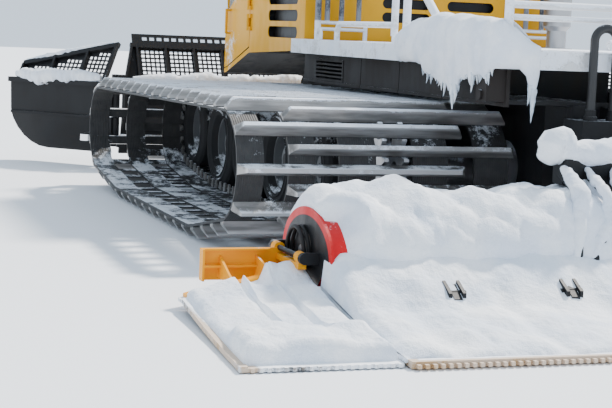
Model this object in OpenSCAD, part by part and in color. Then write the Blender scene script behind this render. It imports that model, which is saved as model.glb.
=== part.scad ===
// Snow groomer on two wide tracks, with a folding blade in front and a
// tiller with smoothing mats behind. Millimetres, +X forward, +Y left, +Z up.
// Every piece is placed from the rear sprocket's axis; one shift then puts
// the middle of the whole machine over the origin.

/* [Tracks] */
// Width over both tracks
over_tracks = 4160; // [3900:10:4400]
// Width of one track
track_w = 1500; // [1400:10:1560]
// Distance between two bars along the belts
bar_pitch = 100; // [90:1:110]
// Number of bars on one track, an even number
bar_count = 82; // [78:2:86]
// Number of teeth on the rear sprocket
sprocket_teeth = 18; // [16:1:20]
// Thickness of the rubber belts
belt_t = 14; // [10:1:18]
// Height of a bar over the belts
bar_h = 66; // [50:1:80]
// Width of a bar's foot, along the belts
bar_foot = 58; // [46:1:64]
// Width of a bar's edge, along the belts
bar_edge = 22; // [14:1:30]
// Depth of a bar's foot in the belts
bar_seat = 2; // [1:0.5:4]
// Bevel at both ends of a bar
bar_bevel = 36; // [10:1:60]
// Height of the horns that guide the tyres, over the belts
horn_h = 58; // [40:1:64]
// Thickness of a horn
horn_t = 12; // [8:1:16]
// Gap between a tyre's wall and the horns
horn_gap = 10; // [6:1:20]

/* [Wheels] */
// Radius of a road wheel's tyre
tyre_r = 300; // [280:1:310]
// Width of a road wheel's tyre
tyre_w = 290; // [240:1:310]
// Radius of a road wheel's rim
rim_r = 178; // [150:1:190]
// Number of road wheels on a side
wheel_count = 4; // [3:1:4]
// Distance from the sprocket to the first road wheel
first_wheel_x = 625; // [610:1:660]
// Distance between two road wheels
wheel_step = 630; // [620:1:650]
// Height of the sprocket's axis over the ground
sprocket_z = 467; // [440:1:490]
// Height of the front idler's axis over the ground
idler_z = 429; // [410:1:450]
// Radius of the front idler's tyre
idler_r = 272; // [262:1:280]

/* [Chassis] */
// Half the width of the tub between the tracks
tub_half = 480; // [440:5:520]
// Height of the tub's bottom over the ground
tub_z0 = 270; // [240:5:320]
// Half the width of the engine bay over the tracks
bay_half = 950; // [900:5:980]
// Height of the engine bay's floor, over the tracks
bay_z0 = 850; // [840:1:880]
// Thickness of the tub's and the bay's plates
plate_t = 20; // [12:1:30]
// Height of the deck's lower face
deck_z0 = 1020; // [1000:5:1060]
// Height of the deck's edge
deck_h = 90; // [60:5:110]
// Half the width of the deck
deck_half = 1050; // [1000:5:1080]

/* [Cab] */
// Half the width of the cab at the doors
cab_half = 950; // [900:5:980]
// Height of the roof's top over the ground
roof_z = 2790; // [2600:10:2860]
// Thickness of the cab's walls and doors
wall_t = 60; // [40:2:80]
// Length of a slot in the cab's side
slot_len = 640; // [500:10:700]
// Height of a slot in the cab's side
slot_h = 76; // [60:1:90]
// Distance between two slots, one above the other
slot_step = 113; // [100:1:125]

/* [Blade] */
// Half the width of the blade's fixed middle
blade_half = 1580; // [1400:10:1700]
// Length of a wing
wing_len = 1010; // [800:10:1100]
// Forward sweep of the wings at rest, in degrees
wing_sweep = 45; // [20:1:60]
// Height of the blade's edge over the ground
blade_lift = 110; // [60:5:160]
// Height of the blade's top edge over its lower edge
blade_h = 850; // [800:10:900]

/* [Tiller] */
// Half the width of the tiller's cover
tiller_half = 2120; // [2060:10:2200]
// Width of a side finisher
finisher_w = 600; // [400:10:700]
// Radius over the rotor's tines
rotor_r = 160; // [140:1:168]
// Length of the smoothing mats, front to back
mat_len = 900; // [800:10:1100]

/* [Hidden] */

$fn = 32;

// Running gap between two curved faces that seat on each other
seat = 0.3;
// Gap between a moving panel and its frame
panel_gap = 8;
// Radius of a pin in its bore adds this much
pin_fit = 0.06;

track_out = over_tracks / 2;

// The belts of one track: distance from the outer edge to the belt, and the belt's width
BELT_OFFSET = 0;
BELT_WIDTH = 1;
belts = [[0, 140], [268, 140], [536, 198], [934, 196], [1280, 196]];
// The two bars that take turns: distance from the outer edge to both ends
bars = [[0, 1220], [268, track_w]];

// The loop runs over four circles at the belts' outer face
loop_r = bar_pitch * sprocket_teeth / (2 * PI);
wheel_loop_r = tyre_r + seat + belt_t;
idler_loop_r = idler_r + seat + belt_t;
wheel_z = bar_h + wheel_loop_r;
last_wheel_x = first_wheel_x + (wheel_count - 1) * wheel_step;

// Circles of the loop for an idler at x: [x, z, radius]
function loop_circles(idler_x) = [
  [0, sprocket_z, loop_r],
  [first_wheel_x, wheel_z, wheel_loop_r],
  [last_wheel_x, wheel_z, wheel_loop_r],
  [idler_x, idler_z, idler_loop_r]
];
// Heading of the straight run from one circle to the next, counted round the loop
function raw_heading(a, b) =
  let (dx = b[0] - a[0], dz = b[1] - a[1], d = sqrt(dx * dx + dz * dz))
  atan2(dz, dx) + asin((a[2] - b[2]) / d);
function headings(c) = [
  raw_heading(c[0], c[1]),
  raw_heading(c[1], c[2]),
  raw_heading(c[2], c[3]),
  360 + raw_heading(c[3], c[0])
];
function run_length(a, b) =
  let (dx = b[0] - a[0], dz = b[1] - a[1])
  sqrt(dx * dx + dz * dz - (a[2] - b[2]) * (a[2] - b[2]));
// Turn of the loop on circle i
function turn(h, i) = i == 0 ? h[0] - (h[3] - 360) : h[i] - h[i - 1];
function arc_length(c, h, i) = c[i][2] * turn(h, i) * PI / 180;
function loop_length(c) =
  let (h = top_headings(c))
  arc_length(c, h, 0) + arc_length(c, h, 1) + arc_length(c, h, 2) + arc_length(c, h, 3)
  + run_length(c[0], c[1]) + run_length(c[1], c[2]) + run_length(c[2], c[3])
  + run_length(c[3], c[0]);
// The upper run heads back, so its heading lies near 180 degrees
function top_headings(c) =
  let (h = headings(c), last = h[3] > 300 ? h[3] - 360 : h[3])
  [h[0], h[1], h[2], last < 90 ? last + 360 : last];
// The idler slides on its tensioner until the loop holds a whole number of bars
function tensioned(x, step) =
  step == 0 ? x : tensioned(x + (bar_count * bar_pitch - loop_length(loop_circles(x))) / 2, step - 1);

idler_x = tensioned(last_wheel_x + 670, 8);
circles = loop_circles(idler_x);
heading = top_headings(circles);

// The place on the loop at a length s from the start of the turn on the sprocket:
// [x, z, heading]
function on_arc(i, s) =
  let (h0 = i == 0 ? heading[3] - 360 : heading[i - 1], h = h0 + s / circles[i][2] * 180 / PI)
  [circles[i][0] + circles[i][2] * sin(h), circles[i][1] - circles[i][2] * cos(h), h];
function on_run(i, s) =
  let (h = heading[i], c = circles[i])
  [c[0] + c[2] * sin(h) + s * cos(h), c[1] - c[2] * cos(h) + s * sin(h), h];
function on_loop(s, i = 0) =
  let (
    arc = arc_length(circles, heading, i),
    run = run_length(circles[i], circles[(i + 1) % 4])
  )
  s <= arc ? on_arc(i, s)
  : s <= arc + run || i == 3 ? on_run(i, s - arc)
  : on_loop(s - arc - run, i + 1);
function bar_place(k) = on_loop((k + 0.5) * bar_pitch);
// Turn of the loop near a bar, which is nothing on a straight run
function bends_at(k) =
  let (
    before = on_loop((k + bar_count - 0.1) % bar_count * bar_pitch),
    after = on_loop((k + 1.1) % bar_count * bar_pitch)
  )
  abs(sin((after[2] - before[2]) / 2)) > 0.001;
function foot_corner(k, side) =
  let (p = bar_place(k))
  [p[0] + side * bar_foot / 2 * cos(p[2]), p[1] + side * bar_foot / 2 * sin(p[2])];
// A belt lies flat under each bar and bends between two bars
belt_outside = [
  for (k = [0 : bar_count - 1])
    if (bends_at(k))
      for (side = [-1, 1]) foot_corner(k, side)
];
inside_steps = 9;
belt_inside = [
  for (i = [0 : 3])
    let (h0 = i == 0 ? heading[3] - 360 : heading[i - 1], n = turn(heading, i) > 30 ? inside_steps : 1)
      for (j = [0 : n - 1])
        let (h = h0 + turn(heading, i) * (j + 0.5) / n)
        let (r = (circles[i][2] - belt_t) / cos(turn(heading, i) / n / 2))
          [circles[i][0] + r * sin(h), circles[i][1] - r * cos(h)]
];

// Blade: the place of its plate and of the wing's hinge
blade_x = 4720;
wing_hinge_x = blade_x + 30;
wing_hinge_y = blade_half + 45;
blade_plate_t = 22;
// Height of the ledge over the blade's edge; over it the blade is a mesh that leans forward
ledge_h = 560;
lean = 31;
// Folds of the plate's face: height over the edge, distance in front of the blade's line
folds = [[0, 95], [290, 10], [ledge_h, 0], [blade_h, (blade_h - ledge_h) * tan(lean)]];
// Rounded lower corner of a wing as [y, height]
corner_r = 320;
wing_corner = [
  for (a = [0 : 15 : 90])
    [wing_len - corner_r + corner_r * sin(a), corner_r - corner_r * cos(a)]
];
// How far the wing's end reaches in front of its hinge
wing_reach = max([
  for (p = wing_corner)
    (blade_x + lookup(p[1], folds) - wing_hinge_x) * cos(wing_sweep) + p[0] * sin(wing_sweep)
]);

// The whole machine's ends, counted from the rear sprocket's axis
nose_x = wing_hinge_x + wing_reach;
mat_front_x = -1760;
tail_x = mat_front_x - mat_len;
mid_x = (nose_x + tail_x) / 2;

module from_sprocket() {
  translate([-mid_x, 0, 0]) children();
}

// The same piece on both sides
module both_sides() {
  children();
  mirror([0, 1, 0]) children();
}

// An outline of [x, z] points drawn out along Y
module across(y0, y1) {
  translate([0, y1, 0]) rotate([90, 0, 0]) linear_extrude(y1 - y0) children();
}

// An outline of [y, z] points drawn out along X
module along(x0, x1) {
  translate([x0, 0, 0]) rotate([90, 0, 90]) linear_extrude(x1 - x0) children();
}

// A round bar along Y
module rod_y(x, z, r, y0, y1) {
  translate([x, y1, z]) rotate([90, 0, 0]) cylinder(h = y1 - y0, r = r);
}

// A straight tube between two points
module tube(a, b, r) {
  d = b - a;
  length = norm(d);
  translate(a) rotate([0, acos(d[2] / length), atan2(d[1], d[0])]) cylinder(h = length, r = r);
}

// A bent tube through a list of points, a little fuller at each bend
module tubing(points, r) {
  for (i = [1 : len(points) - 1]) tube(points[i - 1], points[i], r);
  for (i = [1 : len(points) - 2]) translate(points[i]) sphere(r = r + 1);
}

// A round bar bent to an arc about the middle, in the plane of its first two axes
module bow_bar(arc_r, r, a0, a1) {
  rotate(a0) rotate_extrude(angle = a1 - a0) translate([arc_r, 0]) circle(r = r);
}

// A rectangle with round corners, from the origin
module rounded(w, h, r) {
  translate([r, 0]) square([w - 2 * r, h]);
  translate([0, r]) square([w, h - 2 * r]);
  for (x = [r, w - r], y = [r, h - r]) translate([x, y]) circle(r = r);
}

// Centres of the tyres on one side: [x, z, tyre radius]
wheels = concat(
  [for (i = [0 : wheel_count - 1]) [first_wheel_x + i * wheel_step, wheel_z, tyre_r]],
  [[idler_x, idler_z, idler_r]]
);
// Middle of the wheels, between the third and the fourth belt
wheel_y = track_out - (belts[2][BELT_OFFSET] + belts[2][BELT_WIDTH] + belts[3][BELT_OFFSET]) / 2;

// Track: five belts, and bars that take turns to reach the outer and the inner edge

module bar_outline() {
  polygon([
    [-bar_foot / 2, bar_seat], [bar_foot / 2, bar_seat],
    [bar_edge / 2, -bar_h], [-bar_edge / 2, -bar_h]
  ]);
}

// A bar from y0 to y1, bevelled at both ends from a quarter of its height
module bar(y0, y1) {
  intersection() {
    across(y0, y1) bar_outline();
    along(-bar_foot, bar_foot) polygon([
      [y0, bar_seat], [y0, -bar_h / 4], [y0 + bar_bevel, -bar_h], [y1 - bar_bevel, -bar_h],
      [y1, -bar_h / 4], [y1, bar_seat]
    ]);
  }
}

// The pair of horns on the belts that keep the track on the tyres
module horns() {
  for (side = [-1, 1]) {
    y = wheel_y + side * (tyre_w / 2 + horn_gap + horn_t / 2);
    across(y - horn_t / 2, y + horn_t / 2) polygon([
      [-bar_foot / 2 + 2, belt_t - 3], [bar_foot / 2 - 2, belt_t - 3],
      [bar_edge / 2 + 2, belt_t + horn_h], [-bar_edge / 2 - 2, belt_t + horn_h]
    ]);
  }
}

module track() {
  union() {
    for (b = belts)
      across(track_out - b[BELT_OFFSET] - b[BELT_WIDTH], track_out - b[BELT_OFFSET])
        difference() {
          polygon(belt_outside);
          polygon(belt_inside);
        }
    for (k = [0 : bar_count - 1]) {
      p = bar_place(k);
      ends = bars[k % 2];
      translate([p[0], 0, p[1]]) rotate([0, -p[2], 0]) {
        bar(track_out - ends[1], track_out - ends[0]);
        horns();
      }
    }
  }
}

module track_left() {
  color("dimgray") from_sprocket() track();
}

module track_right() {
  color("dimgray") from_sprocket() mirror([0, 1, 0]) track();
}

// Tyre: half profile as [radius, distance from the middle], with ribs round the wall

module tyre(r) {
  w = tyre_w / 2;
  rib = 7;
  rotate([90, 0, 0]) rotate_extrude($fn = 64) polygon([
    [rim_r + seat, -rim_half], [rim_r + 22, -w * 0.9], [rim_r + 34, -w + rib], [rim_r + 42, -w],
    [rim_r + 50, -w + rib], [r - 62, -w + rib], [r - 54, -w], [r - 40, -w],
    [r - 34, -w + rib], [r - 12, -w * 0.86], [r, -w * 0.74],
    [r, w * 0.74], [r - 12, w * 0.86], [r - 34, w - rib],
    [r - 40, w], [r - 54, w], [r - 62, w - rib], [rim_r + 50, w - rib],
    [rim_r + 42, w], [rim_r + 34, w - rib], [rim_r + 22, w * 0.9], [rim_r + seat, rim_half]
  ]);
}

module tyres() {
  color("black") from_sprocket() both_sides()
    for (wh = wheels) translate([wh[0], wheel_y, wh[1]]) tyre(wh[2]);
}

// Rim: a dished disc with a hub that turns on the stub axle
axle_r = 42;
hub_r = 84;
hub_half = 68;
rim_half = tyre_w / 2 * 0.62;

module rim() {
  w = rim_half;
  web = 8;
  rotate([90, 0, 0]) difference() {
    rotate_extrude($fn = 64) polygon([
      [axle_r + seat, -hub_half], [hub_r, -hub_half], [hub_r, -web], [rim_r - 24, -web],
      [rim_r - 12, -w], [rim_r, -w], [rim_r, w], [rim_r - 12, w],
      [rim_r - 24, web], [hub_r, web], [hub_r, hub_half], [axle_r + seat, hub_half]
    ]);
    for (a = [0 : 60 : 300]) rotate([0, 0, a]) translate([119, 0, -web - 1])
      cylinder(h = 2 * web + 2, r = 24);
  }
}

module rims() {
  color("gray") from_sprocket() both_sides()
    for (wh = wheels) translate([wh[0], wheel_y, wh[1]]) rim();
}

// Sprocket: two toothed rings in the open middle of the track, on a drum with its drive

ring_t = 26;
ring_gap = 110;

module toothed_ring() {
  root_r = loop_r - belt_t - 16;
  tooth_r = loop_r + 26;
  step = 360 / sprocket_teeth;
  polygon([
    for (i = [0 : sprocket_teeth - 1])
      let (a = i * step)
        each [
          [root_r * cos(a - step * 0.32), root_r * sin(a - step * 0.32)],
          [tooth_r * cos(a - step * 0.06), tooth_r * sin(a - step * 0.06)],
          [tooth_r * cos(a + step * 0.06), tooth_r * sin(a + step * 0.06)],
          [root_r * cos(a + step * 0.32), root_r * sin(a + step * 0.32)]
        ]
  ]);
}

module sprocket() {
  phase = heading[3] - 360;
  translate([0, wheel_y, sprocket_z]) rotate([90, 0, 0]) {
    for (side = [-1, 1])
      translate([0, 0, side * ring_gap / 2 - ring_t / 2])
        linear_extrude(ring_t) difference() {
          rotate(phase - 90) toothed_ring();
          for (a = [0 : 60 : 300]) rotate(a) translate([175, 0]) circle(r = 42);
        }
    translate([0, 0, -ring_gap / 2 - ring_t]) cylinder(h = ring_gap + 2 * ring_t, r = 118);
  }
  rod_y(0, sprocket_z, 95, tub_half, wheel_y);
  rod_y(0, sprocket_z, 150, tub_half, tub_half + 60);
}

module sprockets() {
  color("darkgray") from_sprocket() both_sides() sprocket();
}

// Axles: a swing arm from the tub to each road wheel, and its stub axle

arm_t = 62;
arm_back = 210;
arm_rise = 110;
arm_r = 60;

module swing_arm(x, z) {
  length = norm([arm_back, arm_rise]);
  for (p = [[x, z], [x - arm_back, z + arm_rise]]) rod_y(p[0], p[1], arm_r, tub_half, tub_half + arm_t);
  across(tub_half, tub_half + arm_t) translate([x, z]) rotate(180 - atan2(arm_rise, arm_back))
    translate([0, -arm_r * 0.75]) square([length, arm_r * 1.5]);
  rod_y(x, z, axle_r, tub_half, wheel_y + hub_half + 8);
  rod_y(x, z, axle_r + 18, tub_half, wheel_y - hub_half - seat);
}

module axles() {
  color("dimgray") from_sprocket() both_sides()
    for (wh = wheels) swing_arm(wh[0], wh[1]);
}

// Tub: a trough between the tracks that widens over them into the engine bay

tub_x0 = -420;
tub_x1 = 3480;
bay_x0 = -900;
bay_x1 = 2040;

// Valve block and its hoses
valve_z0 = 700;
valve_h = 90;
hose_x = bay_x0 - 138;
hose_y = [570, 450];
hose_r = 21;

// Brackets for the lift cylinders, and pins for the push frame and the carrier
module ears_xz(y, half_w, t) {
  for (side = [-1, 1])
    translate([0, y + side * (half_w + 1 + t / 2), 0]) across(-t / 2, t / 2) children();
}

// Pin through a pair of ears that stand either side of y
module ear_pin(at, y) {
  rod_y(at[0], at[1], pin_r, y - eye_w / 2 - ear_t, y + eye_w / 2 + ear_t);
}

module tub() {
  t = plate_t;
  color("darkslategray") from_sprocket() {
    difference() {
      across(-tub_half, tub_half) polygon([
        [tub_x0, tub_z0 + 90], [tub_x0 + 90, tub_z0], [tub_x1 - 240, tub_z0], [tub_x1, tub_z0 + 200],
        [tub_x1, bay_z0 - 60], [tub_x1 - 60, bay_z0], [tub_x0, bay_z0]
      ]);
      across(-tub_half + t, tub_half - t) polygon([
        [tub_x0 + t, tub_z0 + 90 + t], [tub_x0 + 90 + t, tub_z0 + t], [tub_x1 - 250, tub_z0 + t],
        [tub_x1 - t, tub_z0 + 200 + t], [tub_x1 - t, bay_z0 - 60 - t], [tub_x1 - 60 - t, bay_z0 - t],
        [bay_x1, bay_z0 - t], [bay_x1, bay_z0 + 1], [tub_x0 + t, bay_z0 + 1]
      ]);
    }
    both_sides() {
      along(bay_x0, bay_x1) polygon([
        [tub_half - t, bay_z0 - t], [tub_half, bay_z0 - t], [tub_half + 30, bay_z0],
        [bay_half - t, bay_z0], [bay_half - t, bay_z0 + t], [tub_half - t, bay_z0 + t]
      ]);
      // Pins of the push frame
      rod_y(push_x, push_z, push_pin_r, tub_half - t, tub_half + push_arm_t + 14);
      rod_y(push_x, push_z, push_pin_r + 14, tub_half + push_arm_t + 10, tub_half + push_arm_t + 20);
      // Feet of the blade's lift cylinders
      ears_xz(lift_y, eye_w / 2, ear_t) polygon([
        [tub_x1 - t, blade_foot[1] - 60], [tub_x1 - t, blade_foot[1] + 30],
        [blade_foot[0], blade_foot[1] + 32], [blade_foot[0] + 28, blade_foot[1] + 16],
        [blade_foot[0] + 28, blade_foot[1] - 16], [blade_foot[0], blade_foot[1] - 32]
      ]);
      ear_pin(blade_foot, lift_y);
      // Ears and pin of the carrier
      ears_xz(carrier_y, carrier_arm_t / 2, ear_t * 2) polygon([
        [tub_x0 + t, carrier_z - 80], [tub_x0 + t, carrier_z + 90],
        [carrier_x, carrier_z + 50], [carrier_x - 45, carrier_z + 20],
        [carrier_x - 45, carrier_z - 20], [carrier_x, carrier_z - 50]
      ]);
      rod_y(
        carrier_x, carrier_z, carrier_pin_r,
        carrier_y - carrier_arm_t / 2 - 10, carrier_y + carrier_arm_t / 2 + 10
      );
      // Feet of the tiller's lift cylinders
      ears_xz(rear_lift_y, eye_w / 2, ear_t) polygon([
        [tub_x0 + t, rear_foot[1] - 60], [tub_x0 + t, rear_foot[1] + 45],
        [rear_foot[0], rear_foot[1] + 32], [rear_foot[0] - 28, rear_foot[1] + 16],
        [rear_foot[0] - 28, rear_foot[1] - 16], [rear_foot[0], rear_foot[1] - 32]
      ]);
      ear_pin(rear_foot, rear_lift_y);
      // Stands that carry the cab
      for (x = [cab_x0 + 120, door_x0 - 120])
        across(tub_half - 120, tub_half) polygon([
          [x - 70, bay_z0 - t], [x + 70, bay_z0 - t],
          [x + 55, cab_floor_z(x + 55)], [x - 55, cab_floor_z(x - 55)]
        ]);
    }
    // Valve block under the bay's rear end, with the fittings of the hoses
    translate([hose_x - 45, hose_y[1] - 60, valve_z0])
      cube([bay_x0 + 10 - hose_x + 45, hose_y[0] - hose_y[1] + 120, valve_h]);
    translate([bay_x0 - 20, tub_half + 30, valve_z0]) cube([60, 90, bay_z0 + 4 - valve_z0]);
    for (y = hose_y) translate([hose_x, y, valve_z0 + valve_h - 5]) {
      cylinder(h = 25, r = hose_r + 12);
      cylinder(h = 55, r = hose_r + 5);
    }
    // Front wall of the bay
    translate([bay_x1 - t, -bay_half + t, bay_z0 - t])
      cube([t, 2 * (bay_half - t), deck_z0 - bay_z0 + t]);
  }
}

// Hoses: an arch that rises from the valve block, clear of the deck's rear edge, and comes back

module hoses() {
  foot_z = valve_z0 + valve_h + 50 + seat;
  arch_z = deck_top + 55;
  arch_r = (hose_y[0] - hose_y[1]) / 2;
  color("black") from_sprocket() {
    for (y = hose_y) translate([hose_x, y, foot_z]) cylinder(h = arch_z - foot_z, r = hose_r);
    translate([hose_x, hose_y[1] + arch_r, arch_z]) rotate([90, 0, 90]) bow_bar(arch_r, hose_r, 0, 180);
  }
}

// Engine: one heavy block in the bay, behind the cab

module engine() {
  z0 = tub_z0 + plate_t;
  color("gray") from_sprocket()
    translate([350, -330, z0]) cube([1300, 660, deck_z0 - z0 - 20]);
}

// Side panels: dark covers along the engine bay, with a louvre near the cab

module side_panel() {
  seams = [1010, 420, -180];
  louvre_x = [1330, 1800];
  louvre_rows = 5;
  louvre_step = 24;
  z0 = bay_z0 - 12;
  difference() {
    union() {
      across(bay_half - plate_t, bay_half) polygon([
        [bay_x0, z0], [bay_x1, z0], [bay_x1, deck_z0], [bay_x0, deck_z0]
      ]);
      // Rolled lower edge, and the raised frame of the louvre
      translate([bay_x0, bay_half - 8, z0]) cube([bay_x1 - bay_x0, 14, 16]);
      translate([louvre_x[0] - 20, bay_half - 2, z0 + 18])
        cube([louvre_x[1] - louvre_x[0] + 40, 6, louvre_rows * louvre_step + 14]);
      // Bumper at the rear, under the deck's corner
      translate([bay_x0 + 10, bay_half - 2, bay_z0 + 12])
        cube([110, deck_half - bay_half + 2, deck_z0 - bay_z0 - 12]);
      rod_y(bay_x0 + 65, bay_z0 + 42, 24, deck_half - 2, deck_half + 14);
    }
    for (x = seams)
      translate([x, bay_half - 6, z0 - 1]) cube([8, 14, deck_z0 - z0 + 2]);
    for (i = [0 : louvre_rows - 1])
      translate([louvre_x[0], bay_half - plate_t - 1, z0 + 30 + i * louvre_step])
        cube([louvre_x[1] - louvre_x[0], plate_t + 8, 13]);
  }
}

module side_panels() {
  color("darkslategray") from_sprocket() both_sides() side_panel();
}

// Deck: the load floor behind the cab, with a perforated edge

deck_x0 = -1000;
deck_x1 = bay_x1;
deck_plate_t = 6;
deck_edge_t = 20;
deck_top = deck_z0 + deck_h;
bed_x = [-860, 1240];
bed_half = 900;
bed_t = 4;
lash_x = [-820, 1560];
lash_r = 20;
lash_h = 34;
lash_t = 16;

module deck() {
  inner = 2 * (deck_half - deck_edge_t);
  color("gainsboro") from_sprocket() {
    difference() {
      translate([deck_x0, -deck_half, deck_z0]) cube([deck_x1 - deck_x0, 2 * deck_half, deck_h]);
      translate([deck_x0 + deck_edge_t, -deck_half + deck_edge_t, deck_z0 - 1])
        cube([deck_x1 - deck_x0 - 2 * deck_edge_t, inner, deck_h + 1 - deck_plate_t]);
    }
    // Bearers that rest on the bay's walls
    for (x = [deck_x0 + 300 : 540 : deck_x1 - 100])
      translate([x, -deck_half + deck_edge_t, deck_z0]) cube([50, inner, deck_h - deck_plate_t]);
    // Raised floor plate for the load
    translate([bed_x[0], -bed_half, deck_top - 1]) cube([bed_x[1] - bed_x[0], 2 * bed_half, bed_t + 1]);
    both_sides() {
      // Lashing eyes
      for (x = lash_x) difference() {
        across(deck_half - 14 - lash_t, deck_half - 14) {
          translate([x - lash_r - 20, deck_top - 1]) square([2 * lash_r + 40, lash_h + 1]);
          translate([x, deck_top + lash_h]) circle(r = lash_r + 20);
        }
        rod_y(x, deck_top + lash_h, lash_r, deck_half - 20 - lash_t, deck_half);
      }
    }
  }
}

// Deck rails: the guard of upright tubes behind the cab and the low rails round the deck

rail_r = 17;

module deck_rails() {
  guard_x = deck_x1 - 60;
  guard_z = 2500;
  guard_low = [1180, 1222];
  guard_y = [829, 731, 611];
  side_y = 980;
  hoop = [440, 1370, 1211];
  post_x = 450;
  post_z = 1500;
  rear_x = deck_x0 + 50;
  rear_rails = [1262, 1322, 1402];
  color("silver") from_sprocket() {
    both_sides() {
      // Guard of upright tubes over two thin rails
      tubing([
        [guard_x, 892, deck_top], [guard_x, 892, guard_z - 60], [guard_x, 850, guard_z],
        [guard_x, 300, guard_z]
      ], 20);
      for (y = guard_y) tube([guard_x, y, guard_low[1]], [guard_x, y, guard_z], 17);
      for (z = guard_low) tube([guard_x, 892, z], [guard_x, 560, z], 11);
      tube([guard_x, 560, deck_top], [guard_x, 560, guard_low[1] + 11], 14);
      // Low hoop along the deck's edge
      tubing([
        [hoop[0], side_y, deck_top], [hoop[0], side_y, hoop[2] - 45], [hoop[0] + 32, side_y, hoop[2]],
        [hoop[1] - 32, side_y, hoop[2]], [hoop[1], side_y, hoop[2] - 45], [hoop[1], side_y, deck_top]
      ], rail_r);
      // Post and rail over the rear half, and the hand tube of the step
      tubing([[post_x, side_y, hoop[2] - 60], [post_x, side_y, post_z], [rear_x, side_y, post_z]], 20);
      tubing([
        [280, side_y, deck_top], [280, side_y, 1420], [200, side_y, 1480], [-150, side_y, 1240],
        [-200, side_y, 1190], [-200, side_y, deck_top]
      ], 22);
      tube([rear_x, side_y, deck_top], [rear_x, side_y, post_z + 20], 22);
      tube([rear_x, 360, deck_top], [rear_x, 360, rear_rails[2]], rail_r);
      for (x = [280, -200, rear_x]) translate([x, side_y, deck_top]) cylinder(h = 8, r = 34);
    }
    for (z = rear_rails) tube([rear_x, -side_y, z], [rear_x, side_y, z], z == rear_rails[0] ? 14 : 18);
  }
}

// Cab: side outlines as [x, z]

cab_x0 = 2070;
door_x0 = 3310;
// Rear and front end of the lip under the door, the nose, and the windscreen's foot and head
lip_rear = [3900, 825];
lip_front = [4060, 815];
nose_front = [4140, 880];
nose_top = [4200, 1250];
cab_wall_z = 2640;
screen_top = [3850, cab_wall_z];
cab_rear_z = 1035;
cab_seam_z = 990;
floor_z = 1085;
roof_half = 830;
roof_x1 = 3990;

// Height of the cab's underside at x, behind the door's rear edge
function cab_floor_z(x) = cab_rear_z + (cab_seam_z - cab_rear_z) * (x - cab_x0) / (door_x0 - cab_x0);

module cab_side_outline() {
  polygon([
    [cab_x0, cab_rear_z], [door_x0, cab_seam_z], lip_rear, lip_front, nose_front, nose_top, screen_top,
    [cab_x0 + 30, cab_wall_z], [cab_x0, cab_wall_z - 80]
  ]);
}

module cab_inner_outline() {
  t = wall_t;
  polygon([
    [cab_x0 + t, floor_z], [door_x0 + t / 2, floor_z], lip_rear + [10, t + 10], lip_front + [-t / 3, t + 5],
    nose_front + [-t, t * 0.6], nose_top + [-t, 0], screen_top + [-t * 1.1, 1],
    [cab_x0 + t + 30, cab_wall_z + 1], [cab_x0 + t, cab_wall_z - 80]
  ]);
}

// Half widths at the top of the walls and at the nose's end, and where the sides begin to draw in
cab_top_half = 800;
nose_half = 780;
taper_x = 3950;
cab_end_x = 4300;
belt_line_z = 1500;
cab_low_z = 700;
cab_high_z = 2700;

module cab_front_outline(inset) {
  h = cab_half - inset;
  th = cab_top_half - inset;
  polygon([
    [-h, cab_low_z], [h, cab_low_z], [h, belt_line_z],
    [th, cab_high_z], [-th, cab_high_z], [-h, belt_line_z]
  ]);
}

module cab_plan_outline(inset) {
  h = cab_half - inset;
  nh = nose_half - inset;
  polygon([
    [cab_x0 - 10, -h], [taper_x, -h], [cab_end_x, -nh], [cab_end_x, nh], [taper_x, h], [cab_x0 - 10, h]
  ]);
}

module cab_hull(inset) {
  along(cab_x0 - 10, cab_end_x) cab_front_outline(inset);
}

module cab_plan(inset) {
  translate([0, 0, cab_low_z]) linear_extrude(cab_high_z - cab_low_z + 100) cab_plan_outline(inset);
}

// The room inside the side walls, drawn in by an inset
module cab_room(inset) {
  intersection() {
    cab_hull(inset);
    cab_plan(inset);
  }
}

module cab_outer() {
  intersection() {
    across(-cab_half, cab_half) cab_side_outline();
    cab_hull(0);
    cab_plan(0);
  }
}

module cab_inner() {
  intersection() {
    across(-cab_half, cab_half) cab_inner_outline();
    cab_hull(wall_t);
    cab_plan(wall_t);
  }
}

// Outline of a door, drawn in by a gap
door_sill = 35;
door_front = [4060, 1240];
door_head = [3770, 2560];

module door_outline(g) {
  polygon([
    [door_x0 + g, cab_seam_z + door_sill + g], [lip_rear[0] - 10, lip_rear[1] + door_sill + g],
    [lip_front[0] - 70 - g, lip_front[1] + door_sill + g], [door_front[0] - g, door_front[1]],
    [door_head[0] - g, door_head[1] - g], [door_x0 + g, door_head[1] - g]
  ]);
}

// The door's window: its sill falls towards the front
module door_window_outline(g) {
  polygon([
    [door_x0 + 90 + g, belt_line_z + 20 + g], [3560, belt_line_z - 40 + g],
    [door_front[0] - 62 - g, door_front[1] - 5 + g], [door_front[0] - 54 - g, door_front[1] + 60],
    [door_head[0] - 70 - g, door_head[1] - 90 - g], [door_x0 + 90 + g, door_head[1] - 90 - g]
  ]);
}

module side_window_outline(g) {
  translate([cab_x0 + 130 + g, side_window_z + g])
    rounded(door_x0 - cab_x0 - 240 - 2 * g, cab_wall_z - 160 - side_window_z - 2 * g, 60 - g);
}

side_window_z = 1700;

module slot(length, height, depth) {
  for (side = [-1, 1])
    translate([side * (length - height) / 2, 0, 0]) rotate([90, 0, 0])
      cylinder(h = depth, d = height, center = true);
  cube([length - height, depth, height], center = true);
}

// Middle of the lowest slot in the cab's side
slot_x = 2545;
slot_z = 1149;
slot_rows = 4;
// The slots in the rear wall: distance from the centre plane, length, height, lowest middle, step
rear_slot = [235, 345, 66, 1274, 92];

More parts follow.
